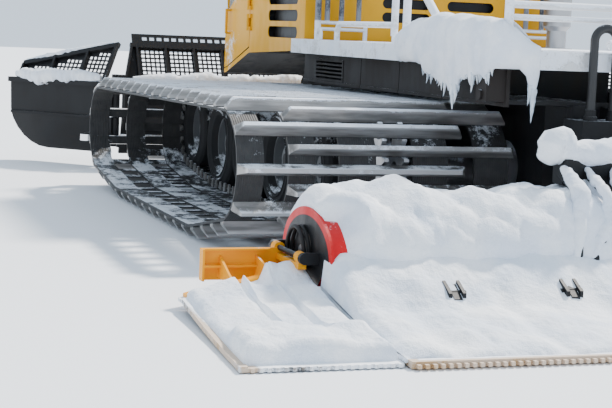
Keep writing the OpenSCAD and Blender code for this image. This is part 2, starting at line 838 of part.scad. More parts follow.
module windscreen_cut(g) {
  along(door_head[0] - 70, cab_end_x + 100) polygon([
    [-nose_half + 120 + g, nose_top[1] + 70 + g], [nose_half - 120 - g, nose_top[1] + 70 + g],
    [cab_top_half - 180 - g, cab_wall_z - 100 - g], [-cab_top_half + 180 + g, cab_wall_z - 100 - g]
  ]);
}

module rear_window_cut(g) {
  half = cab_top_half - 160 - g;
  along(cab_x0 - 20, cab_x0 + 200) translate([-half, side_window_z + g])
    rounded(2 * half, cab_wall_z - 160 - side_window_z - 2 * g, 60 - g);
}

hinge_x = door_x0 - 6;
hinge_y = cab_half + 16;
hinge_r = 13;
hinge_pin_r = 6;
door_hinges = [1180, 1330];
knuckle_h = 60;
handle_x = 3820;
handle_z = 1130;

module cab_shell() {
  color("gold") from_sprocket() {
    difference() {
      cab_outer();
      cab_inner();
      // The doors' openings go through the side walls alone, so the floor stays whole
      difference() {
        across(-cab_half - 10, cab_half + 10) door_outline(0);
        cab_room(wall_t + panel_gap);
      }
      across(-cab_half - 10, cab_half + 10) side_window_outline(0);
      windscreen_cut(0);
      rear_window_cut(0);
      both_sides() for (i = [0 : slot_rows - 1])
        translate([slot_x, cab_half, slot_z + i * slot_step])
          slot(slot_len, slot_h, 2 * (wall_t - 10));
      both_sides() for (i = [0 : slot_rows - 1])
        translate([cab_x0, rear_slot[0], rear_slot[3] + i * rear_slot[4]]) rotate([0, 0, 90])
          slot(rear_slot[1], rear_slot[2], 2 * (wall_t - 10));
    }
    // Hinge ears and pins of the doors
    both_sides() for (z = door_hinges) {
      for (z1 = [z - 30, z + knuckle_h + 1]) {
        translate([hinge_x, hinge_y, z1]) cylinder(h = 29, r = hinge_r);
        translate([hinge_x - 40, cab_half - 6, z1]) cube([40, hinge_y - cab_half + 6, 29]);
      }
      translate([hinge_x, hinge_y, z - 20]) cylinder(h = knuckle_h + 40, r = hinge_pin_r);
    }
  }
}

module cab_roof() {
  z = cab_wall_z;
  color("gold") from_sprocket() {
    intersection() {
      across(-roof_half, roof_half) polygon([
        [cab_x0 + 20, z], [screen_top[0], z], [roof_x1, z + 30], [roof_x1 - 40, z + 80],
        [roof_x1 - 290, roof_z], [cab_x0 + 220, roof_z], [cab_x0 + 40, z + 90]
      ]);
      along(cab_x0, roof_x1 + 10) polygon([
        [-roof_half, z], [roof_half, z], [roof_half, z + 60], [roof_half - 130, roof_z],
        [-roof_half + 130, roof_z], [-roof_half, z + 60]
      ]);
    }
    // Hatch, and the bar that carries the lamps
    translate([cab_x0 + 800, -300, roof_z - 2]) linear_extrude(22) rounded(520, 600, 60);
    translate([lamp_x - 25, -lamp_y[1] - 60, roof_z - 2]) cube([50, 2 * lamp_y[1] + 120, 12]);
  }
}

// Panes that sit in the middle of the wall
pane_t = 8;
pane_out = wall_t / 2 - pane_t / 2;
pane_in = wall_t / 2 + pane_t / 2;

module pane_layer() {
  difference() {
    cab_room(pane_out);
    cab_room(pane_in);
  }
}

module cab_glass() {
  g = seat;
  color("lightcyan", 0.5) from_sprocket() {
    intersection() {
      windscreen_cut(g);
      difference() {
        translate([-pane_out, 0, 0]) across(-cab_half, cab_half) cab_side_outline();
        translate([-pane_in, 0, 0]) across(-cab_half, cab_half) cab_side_outline();
        translate([cab_x0 - 50, -cab_half, cab_low_z])
          cube([door_head[0] - 70 - cab_x0, 2 * cab_half, cab_high_z - cab_low_z]);
      }
    }
    intersection() {
      rear_window_cut(g);
      translate([cab_x0 + pane_out, -cab_half, side_window_z - 50])
        cube([pane_t, 2 * cab_half, cab_high_z - side_window_z]);
    }
    both_sides() intersection() {
      across(0, cab_half) side_window_outline(g);
      pane_layer();
    }
  }
}

// The cab's side wall within the door's outline, with its window, hinges and handle
module door() {
  difference() {
    union() {
      difference() {
        intersection() {
          cab_outer();
          across(0, cab_half + 10) door_outline(panel_gap);
        }
        cab_room(wall_t);
        across(0, cab_half + 10) door_window_outline(0);
      }
      // Hinge knuckles and their leaves on the door's rear edge
      for (z = door_hinges) translate([hinge_x, hinge_y, z]) {
        cylinder(h = knuckle_h, r = hinge_r);
        translate([0, cab_half + 3 - hinge_y, 0]) cube([60, 12, knuckle_h]);
        translate([30, cab_half - 6 - hinge_y, 0]) cube([30, 12, knuckle_h]);
      }
      // Handle near the front edge
      tubing([
        [handle_x, cab_half - 4, handle_z], [handle_x, cab_half + 34, handle_z],
        [handle_x, cab_half + 34, handle_z + 170], [handle_x, cab_half - 4, handle_z + 170]
      ], 10);
    }
    for (z = door_hinges) translate([hinge_x, hinge_y, z - 1])
      cylinder(h = knuckle_h + 2, r = hinge_pin_r + pin_fit);
  }
}

module door_left() {
  color("gold") from_sprocket() door();
}

module door_right() {
  color("gold") from_sprocket() mirror([0, 1, 0]) door();
}

module door_glass() {
  intersection() {
    across(0, cab_half) door_window_outline(seat);
    pane_layer();
  }
}

module door_glass_left() {
  color("lightcyan", 0.5) from_sprocket() door_glass();
}

module door_glass_right() {
  color("lightcyan", 0.5) from_sprocket() mirror([0, 1, 0]) door_glass();
}

module seat_shape() {
  // Stand, cushion, backrest and headrest
  translate([110, 70, 0]) cube([280, 320, 230]);
  across(20, 440) translate([0, 210]) rounded(520, 120, 50);
  across(10, 450) translate([50, 270]) rotate(100) rounded(640, 120, 50);
  across(110, 350) translate([-85, 880]) rotate(100) rounded(190, 90, 40);
  // Armrests on the backrest's sides
  for (y = [-12, 438]) across(y, y + 34) translate([-40, 470]) rounded(430, 60, 28);
}

module seats() {
  color("dimgray") from_sprocket() for (y = [-520, 60]) translate([2620, y, floor_z]) seat_shape();
}

module console() {
  color("dimgray") from_sprocket() {
    across(-400, 400) polygon([
      [door_x0 - 140, floor_z], [door_x0, floor_z], [door_x0 + 60, 1270],
      [3900, 1280], [3900, 1350], [3500, 1375], [door_x0 - 140, 1180]
    ]);
    // Lever and screen on the console
    translate([door_x0 - 60, 240, 1180]) {
      cylinder(h = 190, r = 14);
      translate([0, 0, 180]) sphere(r = 34);
    }
    translate([3470, -340, 1370]) rotate([0, -20, 0]) translate([0, 0, -20]) cube([26, 280, 200]);
  }
}

// Lamps: round work lamps in brackets on the roof, a beacon, and two lamps on the guard

lamp_x = 3640;
lamp_y = [300, 560];
lamp_r = 44;

module work_lamp() {
  hub_z = 62;
  translate([-14, -lamp_r - 10, 0]) cube([28, 2 * lamp_r + 20, 6]);
  for (side = [-1, 1]) translate([-11, side * (lamp_r + 7) - 3, 0]) cube([22, 6, hub_z + 10]);
  rod_y(0, hub_z, 6, -lamp_r - 12, lamp_r + 12);
  translate([0, 0, hub_z]) rotate([0, 90, 0]) rotate_extrude() polygon([
    [0, -38], [24, -36], [38, -18], [lamp_r, 8], [lamp_r, 26], [lamp_r - 5, 26], [lamp_r - 8, 12], [0, 12]
  ]);
}

module lamps() {
  color("whitesmoke") from_sprocket() {
    both_sides() for (y = lamp_y) translate([lamp_x, y, roof_z + 10]) work_lamp();
    translate([cab_x0 + 320, 0, roof_z]) rotate_extrude() polygon([
      [0, 0], [62, 0], [62, 16], [50, 24], [46, 84], [32, 104], [0, 110]
    ]);
  }
}

module mirrors() {
  color("black") from_sprocket() both_sides() {
    difference() {
      tubing([[3930, 760, 2060], [4130, 1060, 2060], [4130, 1060, 1960]], 14);
      cab_outer();
    }
    translate([4100, 970, 1700]) along(0, 44) rounded(180, 280, 36);
  }
}

module exhaust() {
  color("silver") from_sprocket() translate([1700, -700, deck_top]) rotate_extrude() polygon([
    [0, 0], [110, 0], [110, 8], [66, 8], [66, 120], [92, 150], [92, 1180], [66, 1210],
    [48, 1225], [48, 1560], [42, 1560], [42, 1240], [0, 1240]
  ]);
}

// Hydraulic cylinders: the pivots lie along local Y, the rod runs along local X

eye_w = 50;
ear_t = 12;
pin_r = 16;
foot_eye_r = 36;

// Columns of a cylinder: distance between its pivots, radius, stroke in, stroke out, drift at the rod's eye
RAM_LENGTH = 0;
RAM_R = 1;
RAM_IN = 2;
RAM_OUT = 3;
RAM_DRIFT = 4;

function rod_eye_bore(ram) = pin_r + ram[RAM_DRIFT] + 5;
function rod_eye_r(ram) = rod_eye_bore(ram) + 16;
function barrel_end(ram) = ram[RAM_LENGTH] - ram[RAM_IN] - rod_eye_r(ram) - 8;
function rod_start(ram) = foot_eye_r + 14 + ram[RAM_IN];

module ram_barrel(ram) {
  difference() {
    union() {
      rotate([90, 0, 0]) cylinder(h = eye_w, r = foot_eye_r, center = true);
      translate([0, -eye_w / 2, -eye_w / 2]) cube([foot_eye_r + 6, eye_w, eye_w]);
      translate([foot_eye_r + 4, 0, 0]) rotate([0, 90, 0])
        cylinder(h = barrel_end(ram) - foot_eye_r - 4, r = ram[RAM_R]);
    }
    rotate([90, 0, 0]) cylinder(h = 2 * ram[RAM_R] + eye_w, r = pin_r + pin_fit, center = true);
    translate([foot_eye_r + 8, 0, 0]) rotate([0, 90, 0])
      cylinder(h = ram[RAM_LENGTH], r = ram[RAM_R] * 0.6 + pin_fit);
  }
}

module ram_rod(ram) {
  difference() {
    union() {
      translate([rod_start(ram), 0, 0]) rotate([0, 90, 0])
        cylinder(h = ram[RAM_LENGTH] - rod_start(ram), r = ram[RAM_R] * 0.6);
      translate([ram[RAM_LENGTH], 0, 0]) rotate([90, 0, 0])
        cylinder(h = eye_w, r = rod_eye_r(ram), center = true);
    }
    translate([ram[RAM_LENGTH], 0, 0]) rotate([90, 0, 0])
      cylinder(h = eye_w + 2, r = rod_eye_bore(ram), center = true);
  }
}

// Seats a cylinder between two points of a plane along X and Z
module in_xz(a, b, y) {
  translate([a[0], y, a[1]]) rotate([0, -atan2(b[1] - a[1], b[0] - a[0]), 0]) children();
}

// Seats a cylinder between two points of a level plane
module in_xy(a, b, z) {
  translate([a[0], a[1], z]) rotate([0, 0, atan2(b[1] - a[1], b[0] - a[0])]) rotate([90, 0, 0]) children();
}

function gap_between(a, b) = norm(b - a);

// Push frame: two arms from the tub's front to the pin that carries the blade

push_x = 3340;
push_z = 430;
push_pin_r = 30;
push_arm_t = 60;
push_beam_h = 100;
king_x = 4300;
king_pin_r = 40;
king_ring_r = 120;

lift_y = 68;
blade_foot = [3560, 740];
blade_eye = [3990, 550];
blade_ram = [gap_between(blade_foot, blade_eye), 34, 110, 50, 11];

angle_foot = [3830, 400];
angle_eye = [king_x + 80, 560];
angle_ram = [gap_between(angle_foot, angle_eye), 34, 150, 140, 8];

module push_frame() {
  cross_x = 3660;
  beam_z = push_z - push_beam_h / 2;
  color("darkslategray") from_sprocket() difference() {
    union() {
      both_sides() {
        rod_y(push_x, push_z, 58, tub_half + 5, tub_half + 5 + push_arm_t - 2);
        translate([push_x, tub_half + 5, beam_z]) cube([cross_x - push_x, push_arm_t - 2, push_beam_h]);
        // Ears of the angle cylinders
        level_ears(push_z) translate([cross_x + 50, angle_foot[1] - 50])
          square([angle_foot[0] + 28 - cross_x - 50, 76]);
        translate([angle_foot[0], angle_foot[1], push_z - eye_w / 2 - ear_t])
          cylinder(h = eye_w + 2 * ear_t, r = pin_r);
        // Ears for the rods of the lift cylinders
        ears_xz(lift_y, eye_w / 2, ear_t) polygon([
          [blade_eye[0] - 60, push_z], [blade_eye[0] + 60, push_z],
          [blade_eye[0] + 26, blade_eye[1] + 20], [blade_eye[0], blade_eye[1] + 30],
          [blade_eye[0] - 26, blade_eye[1] + 20]
        ]);
        ear_pin(blade_eye, lift_y);
      }
      translate([cross_x, -tub_half - 5 - push_arm_t + 2, beam_z])
        cube([90, 2 * (tub_half + 5 + push_arm_t - 2), push_beam_h]);
      translate([cross_x, -120, beam_z]) cube([king_x - cross_x - 60, 240, push_beam_h]);
      translate([king_x, 0, beam_z]) cylinder(h = push_beam_h, r = king_ring_r);
    }
    both_sides() rod_y(push_x, push_z, push_pin_r + pin_fit, tub_half, tub_half + push_arm_t + 20);
    translate([king_x, 0, beam_z - 1]) cylinder(h = push_beam_h + 2, r = king_pin_r + pin_fit);
  }
}

// Yoke: turns on the king pin and carries the blade on a level pin

yoke_t = 45;
yoke_x = king_x + king_ring_r + 10;
tilt_pin_r = 50;
tilt_pin_x1 = blade_x - 30;

module blade_yoke() {
  half = push_beam_h / 2 + 5;
  color("dimgray") from_sprocket() {
    translate([king_x, 0, push_z - half - yoke_t]) cylinder(h = 2 * (half + yoke_t), r = king_pin_r);
    for (z = [push_z - half - yoke_t, push_z + half]) {
      translate([king_x, -80, z]) cube([yoke_x - king_x + 10, 160, yoke_t]);
      translate([king_x, 0, z]) cylinder(h = yoke_t, r = 80);
    }
    translate([yoke_x, -620, push_z - half - yoke_t]) cube([60, 1240, 2 * (half + yoke_t)]);
    both_sides() {
      level_ears(push_z) translate([angle_eye[0] - 30, angle_eye[1] - 40])
        square([yoke_x - angle_eye[0] + 40, 80]);
      translate([angle_eye[0], angle_eye[1], push_z - eye_w / 2 - ear_t])
        cylinder(h = eye_w + 2 * ear_t, r = pin_r);
    }
    translate([yoke_x + 30, 0, push_z]) rotate([0, 90, 0])
      cylinder(h = tilt_pin_x1 - yoke_x - 30, r = tilt_pin_r);
  }
}

// Blade: a folded plate with its edge forward, a box beam and ribs behind, and a leaning mesh on top

ledge_z = blade_lift + ledge_h;
beam_x0 = blade_x - 140;
beam_half_h = 110;
rib_t = 18;
rib_step = 240;
// Back edge of the plate's ribs, high enough to clear the wing's cylinder
rib_back = [[-110, ledge_h], [-110, 330], [20, 195], [66, 40]];
// The mesh draws in to its top by this much at each end, clear of the swung wing
end_slant = 90;

// Points of the face, or of a layer behind it, from h0 to h1
function fold_points(h0, h1, back) = concat(
  [[lookup(h0, folds) - back, h0]],
  [for (f = folds) if (f[0] > h0 && f[0] < h1) [f[1] - back, f[0]]],
  [[lookup(h1, folds) - back, h1]]
);
function reversed(list) = [for (i = [len(list) - 1 : -1 : 0]) list[i]];

// Outline of a layer of the blade, from one depth behind the face to another
module blade_layer(h0, h1, d0, d1) {
  translate([blade_x, blade_lift])
    polygon(concat(fold_points(h0, h1, d0), reversed(fold_points(h0, h1, d1))));
}

// Places children on the leaning mesh: Y along the blade, Z up the mesh, X out of its face
module on_mesh() {
  translate([blade_x, 0, ledge_z]) rotate([0, lean, 0]) children();
}

mesh_h = (blade_h - ledge_h) / cos(lean);
mesh_low = 24;
mesh_t = 8;
mesh_step = 39;
mesh_hole = 27;
top_beam = 40;
// The blade's end at a height over the ledge, measured along the mesh
function end_y(v) = blade_half - end_slant * (v + 30) / (mesh_h + 40);

// Square holes in rows and columns between u0 and u1, under a line that falls from h0 to h1
module mesh_holes(u0, u1, h0, h1) {
  for (v = [26 : mesh_step : max(h0, h1) - mesh_hole], u = [u0 + 6 : mesh_step : u1 - mesh_hole]) {
    top = min(h0 + (h1 - h0) * (u - u0) / (u1 - u0), h0 + (h1 - h0) * (u + mesh_hole - u0) / (u1 - u0));
    if (v + mesh_hole + 6 < top) translate([u, v]) square(mesh_hole);
  }
}

wing_z = 250;
wing_foot = [blade_x - 160, 1000];
wing_pin_r = 18;
wing_gap = 70;
wing_lug = [-250, 90];
wing_eye = [
  wing_hinge_x + wing_lug[0] * cos(wing_sweep) + wing_lug[1] * sin(wing_sweep),
  wing_hinge_y + wing_lug[1] * cos(wing_sweep) - wing_lug[0] * sin(wing_sweep)
];
wing_ram = [gap_between(wing_foot, wing_eye), 30, 180, 66, 28];
// Heights over the edge where the blade's hinge lugs lie, with the wing's knuckles between them
lug_h = 44;
blade_lugs = [60, 300, 600];
hinge_eye_r = 36;

module level_ears(z) {
  for (side = [-1, 1]) translate([0, 0, z + side * (eye_w / 2 + 1 + ear_t / 2) - ear_t / 2])
    linear_extrude(ear_t) children();
}

module blade() {
  rib_count = 2 * floor((blade_half - 60) / rib_step) + 1;
  color("darkslategray") from_sprocket() difference() {
    union() {
      across(-blade_half, blade_half) blade_layer(0, ledge_h, 0, blade_plate_t);
      // Wear edge along the bottom
      across(-blade_half, blade_half) blade_layer(4, 70, -14, 1);
      // Ledge and top beam
      translate([blade_x - 60, -blade_half, ledge_z - 20]) cube([60, 2 * blade_half, 40]);
      on_mesh() translate([-top_beam, -blade_half + end_slant, mesh_h])
        cube([top_beam, 2 * (blade_half - end_slant), top_beam]);
      // Box beam across the back
      translate([0, 0, push_z]) across(-blade_half + 60, blade_half - 60) polygon([
        [beam_x0, -beam_half_h],
        [blade_x + lookup(push_z - beam_half_h - blade_lift, folds) - 8, -beam_half_h],
        [blade_x - 8, beam_half_h], [beam_x0, beam_half_h]
      ]);
      // Ribs of the mesh, and longer ones that stiffen the plate
      for (i = [0 : rib_count - 1]) {
        y = (i - (rib_count - 1) / 2) * rib_step;
        on_mesh() translate([-50, y - rib_t / 2, -30]) cube([50 - mesh_t - seat, rib_t, mesh_h + 40]);
        if (i % 2 == 0) across(y - rib_t / 2, y + rib_t / 2) translate([blade_x, blade_lift])
          polygon(concat(fold_points(40, ledge_h, blade_plate_t - 4), rib_back));
      }
      both_sides() {
        across(blade_half - rib_t, blade_half) translate([blade_x, blade_lift])
          polygon(concat(fold_points(10, ledge_h, 6), rib_back));
        on_mesh() along(-60, 0) polygon([
          [end_y(-30) - rib_t, -30], [end_y(-30), -30],
          [end_y(mesh_h + 10), mesh_h + 10], [end_y(mesh_h + 10) - rib_t, mesh_h + 10]
        ]);
        // Hinge lugs and pin of the wing
        for (h = blade_lugs) translate([0, 0, blade_lift + h]) linear_extrude(lug_h) union() {
          translate([wing_hinge_x, wing_hinge_y]) circle(r = hinge_eye_r);
          translate([wing_hinge_x - 100, blade_half - 20]) square([100, wing_hinge_y - blade_half + 20]);
        }
        translate([wing_hinge_x, wing_hinge_y, blade_lift + blade_lugs[0]])
          cylinder(h = blade_lugs[2] - blade_lugs[0] + lug_h, r = wing_pin_r);
        // Bracket of the wing's cylinder, under the beam
        level_ears(wing_z) translate([wing_foot[0] - 40, wing_foot[1] - 70]) square([80, 95]);
        translate([wing_foot[0] - 40, wing_foot[1] - 70, wing_z - eye_w / 2 - ear_t])
          cube([80, 20, push_z - wing_z]);
        translate([wing_foot[0], wing_foot[1], wing_z - eye_w / 2 - ear_t])
          cylinder(h = eye_w + 2 * ear_t, r = pin_r);
      }
    }
    translate([beam_x0 - 1, 0, push_z]) rotate([0, 90, 0])
      cylinder(h = tilt_pin_x1 - beam_x0 + 11, r = tilt_pin_r + pin_fit);
  }
}

// Mesh between the ribs, and the low screen on the top beam
screen_h = 90;
screen_t = 16;
screen_half = blade_half - end_slant - 20;

module blade_screen() {
  cells = floor(2 * (screen_half - 60) / 62);
  color("darkslategray") from_sprocket() {
    on_mesh() along(-mesh_t, 0) difference() {
      polygon([for (p = [[-1, mesh_low], [1, mesh_low], [1, mesh_h], [-1, mesh_h]])
        [p[0] * (end_y(p[1]) - rib_t - 1), p[1]]]);
      for (i = [-6 : 5])
        mesh_holes(i * rib_step + rib_t / 2, (i + 1) * rib_step - rib_t / 2, mesh_h, mesh_h);
    }
    on_mesh() along(-screen_t - 12, -12) difference() {
      translate([-screen_half, mesh_h + top_beam]) square([2 * screen_half, screen_h]);
      for (i = [0 : cells - 1])
        translate([(i - cells / 2) * 62 + 10, mesh_h + top_beam + 30]) square([42, 36]);
    }
  }
}

// Wings: folded forward from a hinge at the end of the blade's middle

mesh_end = 930;
mesh_end_h = 120;

module wing() {
  translate([wing_hinge_x, wing_hinge_y, 0]) rotate([0, 0, -wing_sweep]) difference() {
    union() {
      intersection() {
        translate([-wing_hinge_x, 0, 0]) across(wing_gap, wing_len)
          blade_layer(0, ledge_h, 0, blade_plate_t);
        along(-200, 300) translate([0, blade_lift]) polygon(concat(
          [[wing_gap, ledge_h], [wing_gap, 0]], wing_corner, [[wing_len, ledge_h]]
        ));
      }
      // Ledge, and a seam that stiffens the plate along its fold
      translate([blade_x - wing_hinge_x - 60, wing_gap, ledge_z - 20]) cube([60, wing_len - wing_gap, 40]);
      translate([blade_x - wing_hinge_x + folds[1][1] - blade_plate_t - 14, wing_gap, 0])
        translate([0, 0, blade_lift + folds[1][0] - 10]) cube([18, wing_len - wing_gap - 8, 20]);
      // Sloping top beam, and the ribs that carry the mesh
      translate([-wing_hinge_x, 0, 0]) on_mesh() {
        along(-top_beam, 0) polygon([
          [wing_gap, mesh_h], [mesh_end, mesh_end_h], [mesh_end, mesh_end_h + top_beam],
          [wing_gap, mesh_h + top_beam]
        ]);
        for (y = wing_ribs) along(-50, -mesh_t - seat) polygon([
          [y, -30], [y + rib_t, -30], [y + rib_t, wing_top(y + rib_t) + 10], [y, wing_top(y) + 10]
        ]);
      }
      // Knuckles on the pin
      for (i = [0, 1]) translate([0, 0, blade_lift + blade_lugs[i] + lug_h + 3]) {
        h = blade_lugs[i + 1] - blade_lugs[i] - lug_h - 6;
        cylinder(h = h, r = hinge_eye_r - 2);
        translate([-60, 0, 0]) cube([60, wing_gap + 10, h]);
      }
      // Lug of the wing's cylinder
      level_ears(wing_z) translate([wing_lug[0] - 30, wing_lug[1] - 28]) square([250, 56]);
      translate([wing_lug[0], wing_lug[1], wing_z - eye_w / 2 - ear_t])
        cylinder(h = eye_w + 2 * ear_t, r = pin_r);
    }
    translate([0, 0, blade_lift]) cylinder(h = blade_h, r = wing_pin_r + pin_fit);
  }
}

wing_ribs = [wing_gap + 1, 320, 620, mesh_end - rib_t];

// Height of the wing's mesh at y, along its lean
function wing_top(y) = mesh_h + (mesh_end_h - mesh_h) * (y - wing_gap) / (mesh_end - wing_gap);

module wing_mesh() {
  translate([wing_hinge_x, wing_hinge_y, 0]) rotate([0, 0, -wing_sweep]) translate([-wing_hinge_x, 0, 0])
    on_mesh() along(-mesh_t, 0) difference() {
      polygon([
        [wing_gap + 12, mesh_low], [mesh_end, mesh_low],
        [mesh_end, mesh_end_h], [wing_gap + 12, wing_top(wing_gap + 12)]
      ]);
      for (i = [0 : len(wing_ribs) - 2]) {
        u0 = wing_ribs[i] + rib_t;
        u1 = wing_ribs[i + 1];
        mesh_holes(u0, u1, wing_top(u0), wing_top(u1));
      }
    }
}

module wing_left() {
  color("darkslategray") from_sprocket() wing();
}

module wing_right() {
  color("darkslategray") from_sprocket() mirror([0, 1, 0]) wing();
}

module wing_mesh_left() {
  color("darkslategray") from_sprocket() wing_mesh();
}

module wing_mesh_right() {
  color("darkslategray") from_sprocket() mirror([0, 1, 0]) wing_mesh();
}

module blade_lift_barrels() {
  color("dimgray") from_sprocket() both_sides() in_xz(blade_foot, blade_eye, lift_y) ram_barrel(blade_ram);
}

module blade_lift_rods() {
  color("silver") from_sprocket() both_sides() in_xz(blade_foot, blade_eye, lift_y) ram_rod(blade_ram);
}

module angle_barrel_left() {
  color("dimgray") from_sprocket() in_xy(angle_foot, angle_eye, push_z) ram_barrel(angle_ram);
}

module angle_rod_left() {
  color("silver") from_sprocket() in_xy(angle_foot, angle_eye, push_z) ram_rod(angle_ram);
}

module angle_barrel_right() {
  color("dimgray") from_sprocket() mirror([0, 1, 0])
    in_xy(angle_foot, angle_eye, push_z) ram_barrel(angle_ram);
}

module angle_rod_right() {
  color("silver") from_sprocket() mirror([0, 1, 0]) in_xy(angle_foot, angle_eye, push_z) ram_rod(angle_ram);
}

module wing_barrel_left() {
  color("dimgray") from_sprocket() in_xy(wing_foot, wing_eye, wing_z) ram_barrel(wing_ram);
}

module wing_rod_left() {
  color("silver") from_sprocket() in_xy(wing_foot, wing_eye, wing_z) ram_rod(wing_ram);
}

module wing_barrel_right() {
  color("dimgray") from_sprocket() mirror([0, 1, 0])
    in_xy(wing_foot, wing_eye, wing_z) ram_barrel(wing_ram);
}

module wing_rod_right() {
  color("silver") from_sprocket() mirror([0, 1, 0]) in_xy(wing_foot, wing_eye, wing_z) ram_rod(wing_ram);
}

// Carrier: the lifting arms at the back

carrier_x = -490;
carrier_z = 470;
carrier_y = 330;
carrier_arm_t = 60;
carrier_pin_r = 30;
swing_x = -1262;
swing_z = 590;
swing_pin_r = 30;
swing_ring_r = 80;
swing_h = 90;

rear_lift_y = 120;
rear_foot = [-480, 790];
rear_eye = [-890, 680];
rear_ram = [gap_between(rear_foot, rear_eye), 36, 140, 20, 8];

module carrier() {
  cross_x = -1000;
  color("darkslategray") from_sprocket() difference() {
    union() {
      both_sides() {
        rod_y(carrier_x, carrier_z, 58, carrier_y - carrier_arm_t / 2, carrier_y + carrier_arm_t / 2);
        across(carrier_y - carrier_arm_t / 2, carrier_y + carrier_arm_t / 2) polygon([
          [carrier_x, carrier_z - 55], [carrier_x, carrier_z + 55],
          [cross_x, swing_z + 45], [cross_x, swing_z - 45]
        ]);
        ears_xz(rear_lift_y, eye_w / 2, ear_t) polygon([
          [cross_x + 40, swing_z - 40], [cross_x + 40, swing_z + 44],
          [rear_eye[0] - 28, rear_eye[1] + 16], [rear_eye[0], rear_eye[1] + 28],
          [rear_eye[0] + 24, rear_eye[1] + 14], [rear_eye[0] + 28, rear_eye[1] - 16]
        ]);
        ear_pin(rear_eye, rear_lift_y);
      }
      translate([cross_x - 40, -carrier_y - carrier_arm_t / 2, swing_z - 45])
        cube([90, 2 * carrier_y + carrier_arm_t, 90]);
      translate([swing_x, -swing_ring_r, swing_z - swing_h / 2])
        cube([cross_x - swing_x, 2 * swing_ring_r, swing_h]);
      translate([swing_x, 0, swing_z - swing_h / 2]) cylinder(h = swing_h, r = swing_ring_r);
    }
    both_sides()
      rod_y(
        carrier_x, carrier_z, carrier_pin_r + pin_fit, carrier_y - carrier_arm_t, carrier_y + carrier_arm_t
      );
    translate([swing_x, 0, swing_z - swing_h]) cylinder(h = 2 * swing_h, r = swing_pin_r + pin_fit);
  }
}

// Swing head: turns on the upright pin and carries the tiller on a level pin

head_x0 = swing_x - swing_ring_r - 50;
roll_pin_r = 36;
frame_x1 = head_x0 - 12;
frame_w = 110;

module swing_head() {
  half = swing_h / 2 + 5;
  color("dimgray") from_sprocket() {
    translate([swing_x, 0, swing_z - half - 25]) cylinder(h = 2 * half + 50, r = swing_pin_r);
    for (z = [swing_z - half - 25, swing_z + half]) {
      translate([head_x0, -swing_ring_r, z]) cube([swing_x - head_x0, 2 * swing_ring_r, 25]);
      translate([swing_x, 0, z]) cylinder(h = 25, r = swing_ring_r);
    }
    translate([head_x0, -swing_ring_r, swing_z - half - 25]) cube([40, 2 * swing_ring_r, 2 * half + 50]);
    translate([frame_x1 - frame_w + 15, 0, swing_z]) rotate([0, 90, 0])
      cylinder(h = head_x0 - frame_x1 + frame_w, r = roll_pin_r);
  }
}

rotor_x = -1430;
rotor_z = 232;
shaft_r = 34;
cover_rx = 310;
cover_rz = 200;
cover_t = 16;
cover_x = rotor_x - 45;
cover_z = rotor_z - 10;
end_t = 30;

// Points of the hood's bow, from its front edge over the top to its rear edge
function bow(rx, rz) = [for (a = [-15 : 5 : 185]) [cover_x + rx * cos(a), cover_z + rz * sin(a)]];

module bow_outline(grow) {
  polygon(bow(cover_rx + grow, cover_rz + grow));
}

// Height of the mat's upper face at x
mat_flange_z = 196;
flange_t = 14;
// How far the flange reaches behind the front of the mats, and the comb behind them
flange_len = 95;
comb_out = 20;
mat_top = [
  [tail_x + comb_out, 22], [mat_front_x - 620, 40], [mat_front_x - 330, 80],
  [mat_front_x - flange_len - 3, mat_flange_z], [mat_front_x + 20, mat_flange_z]
];

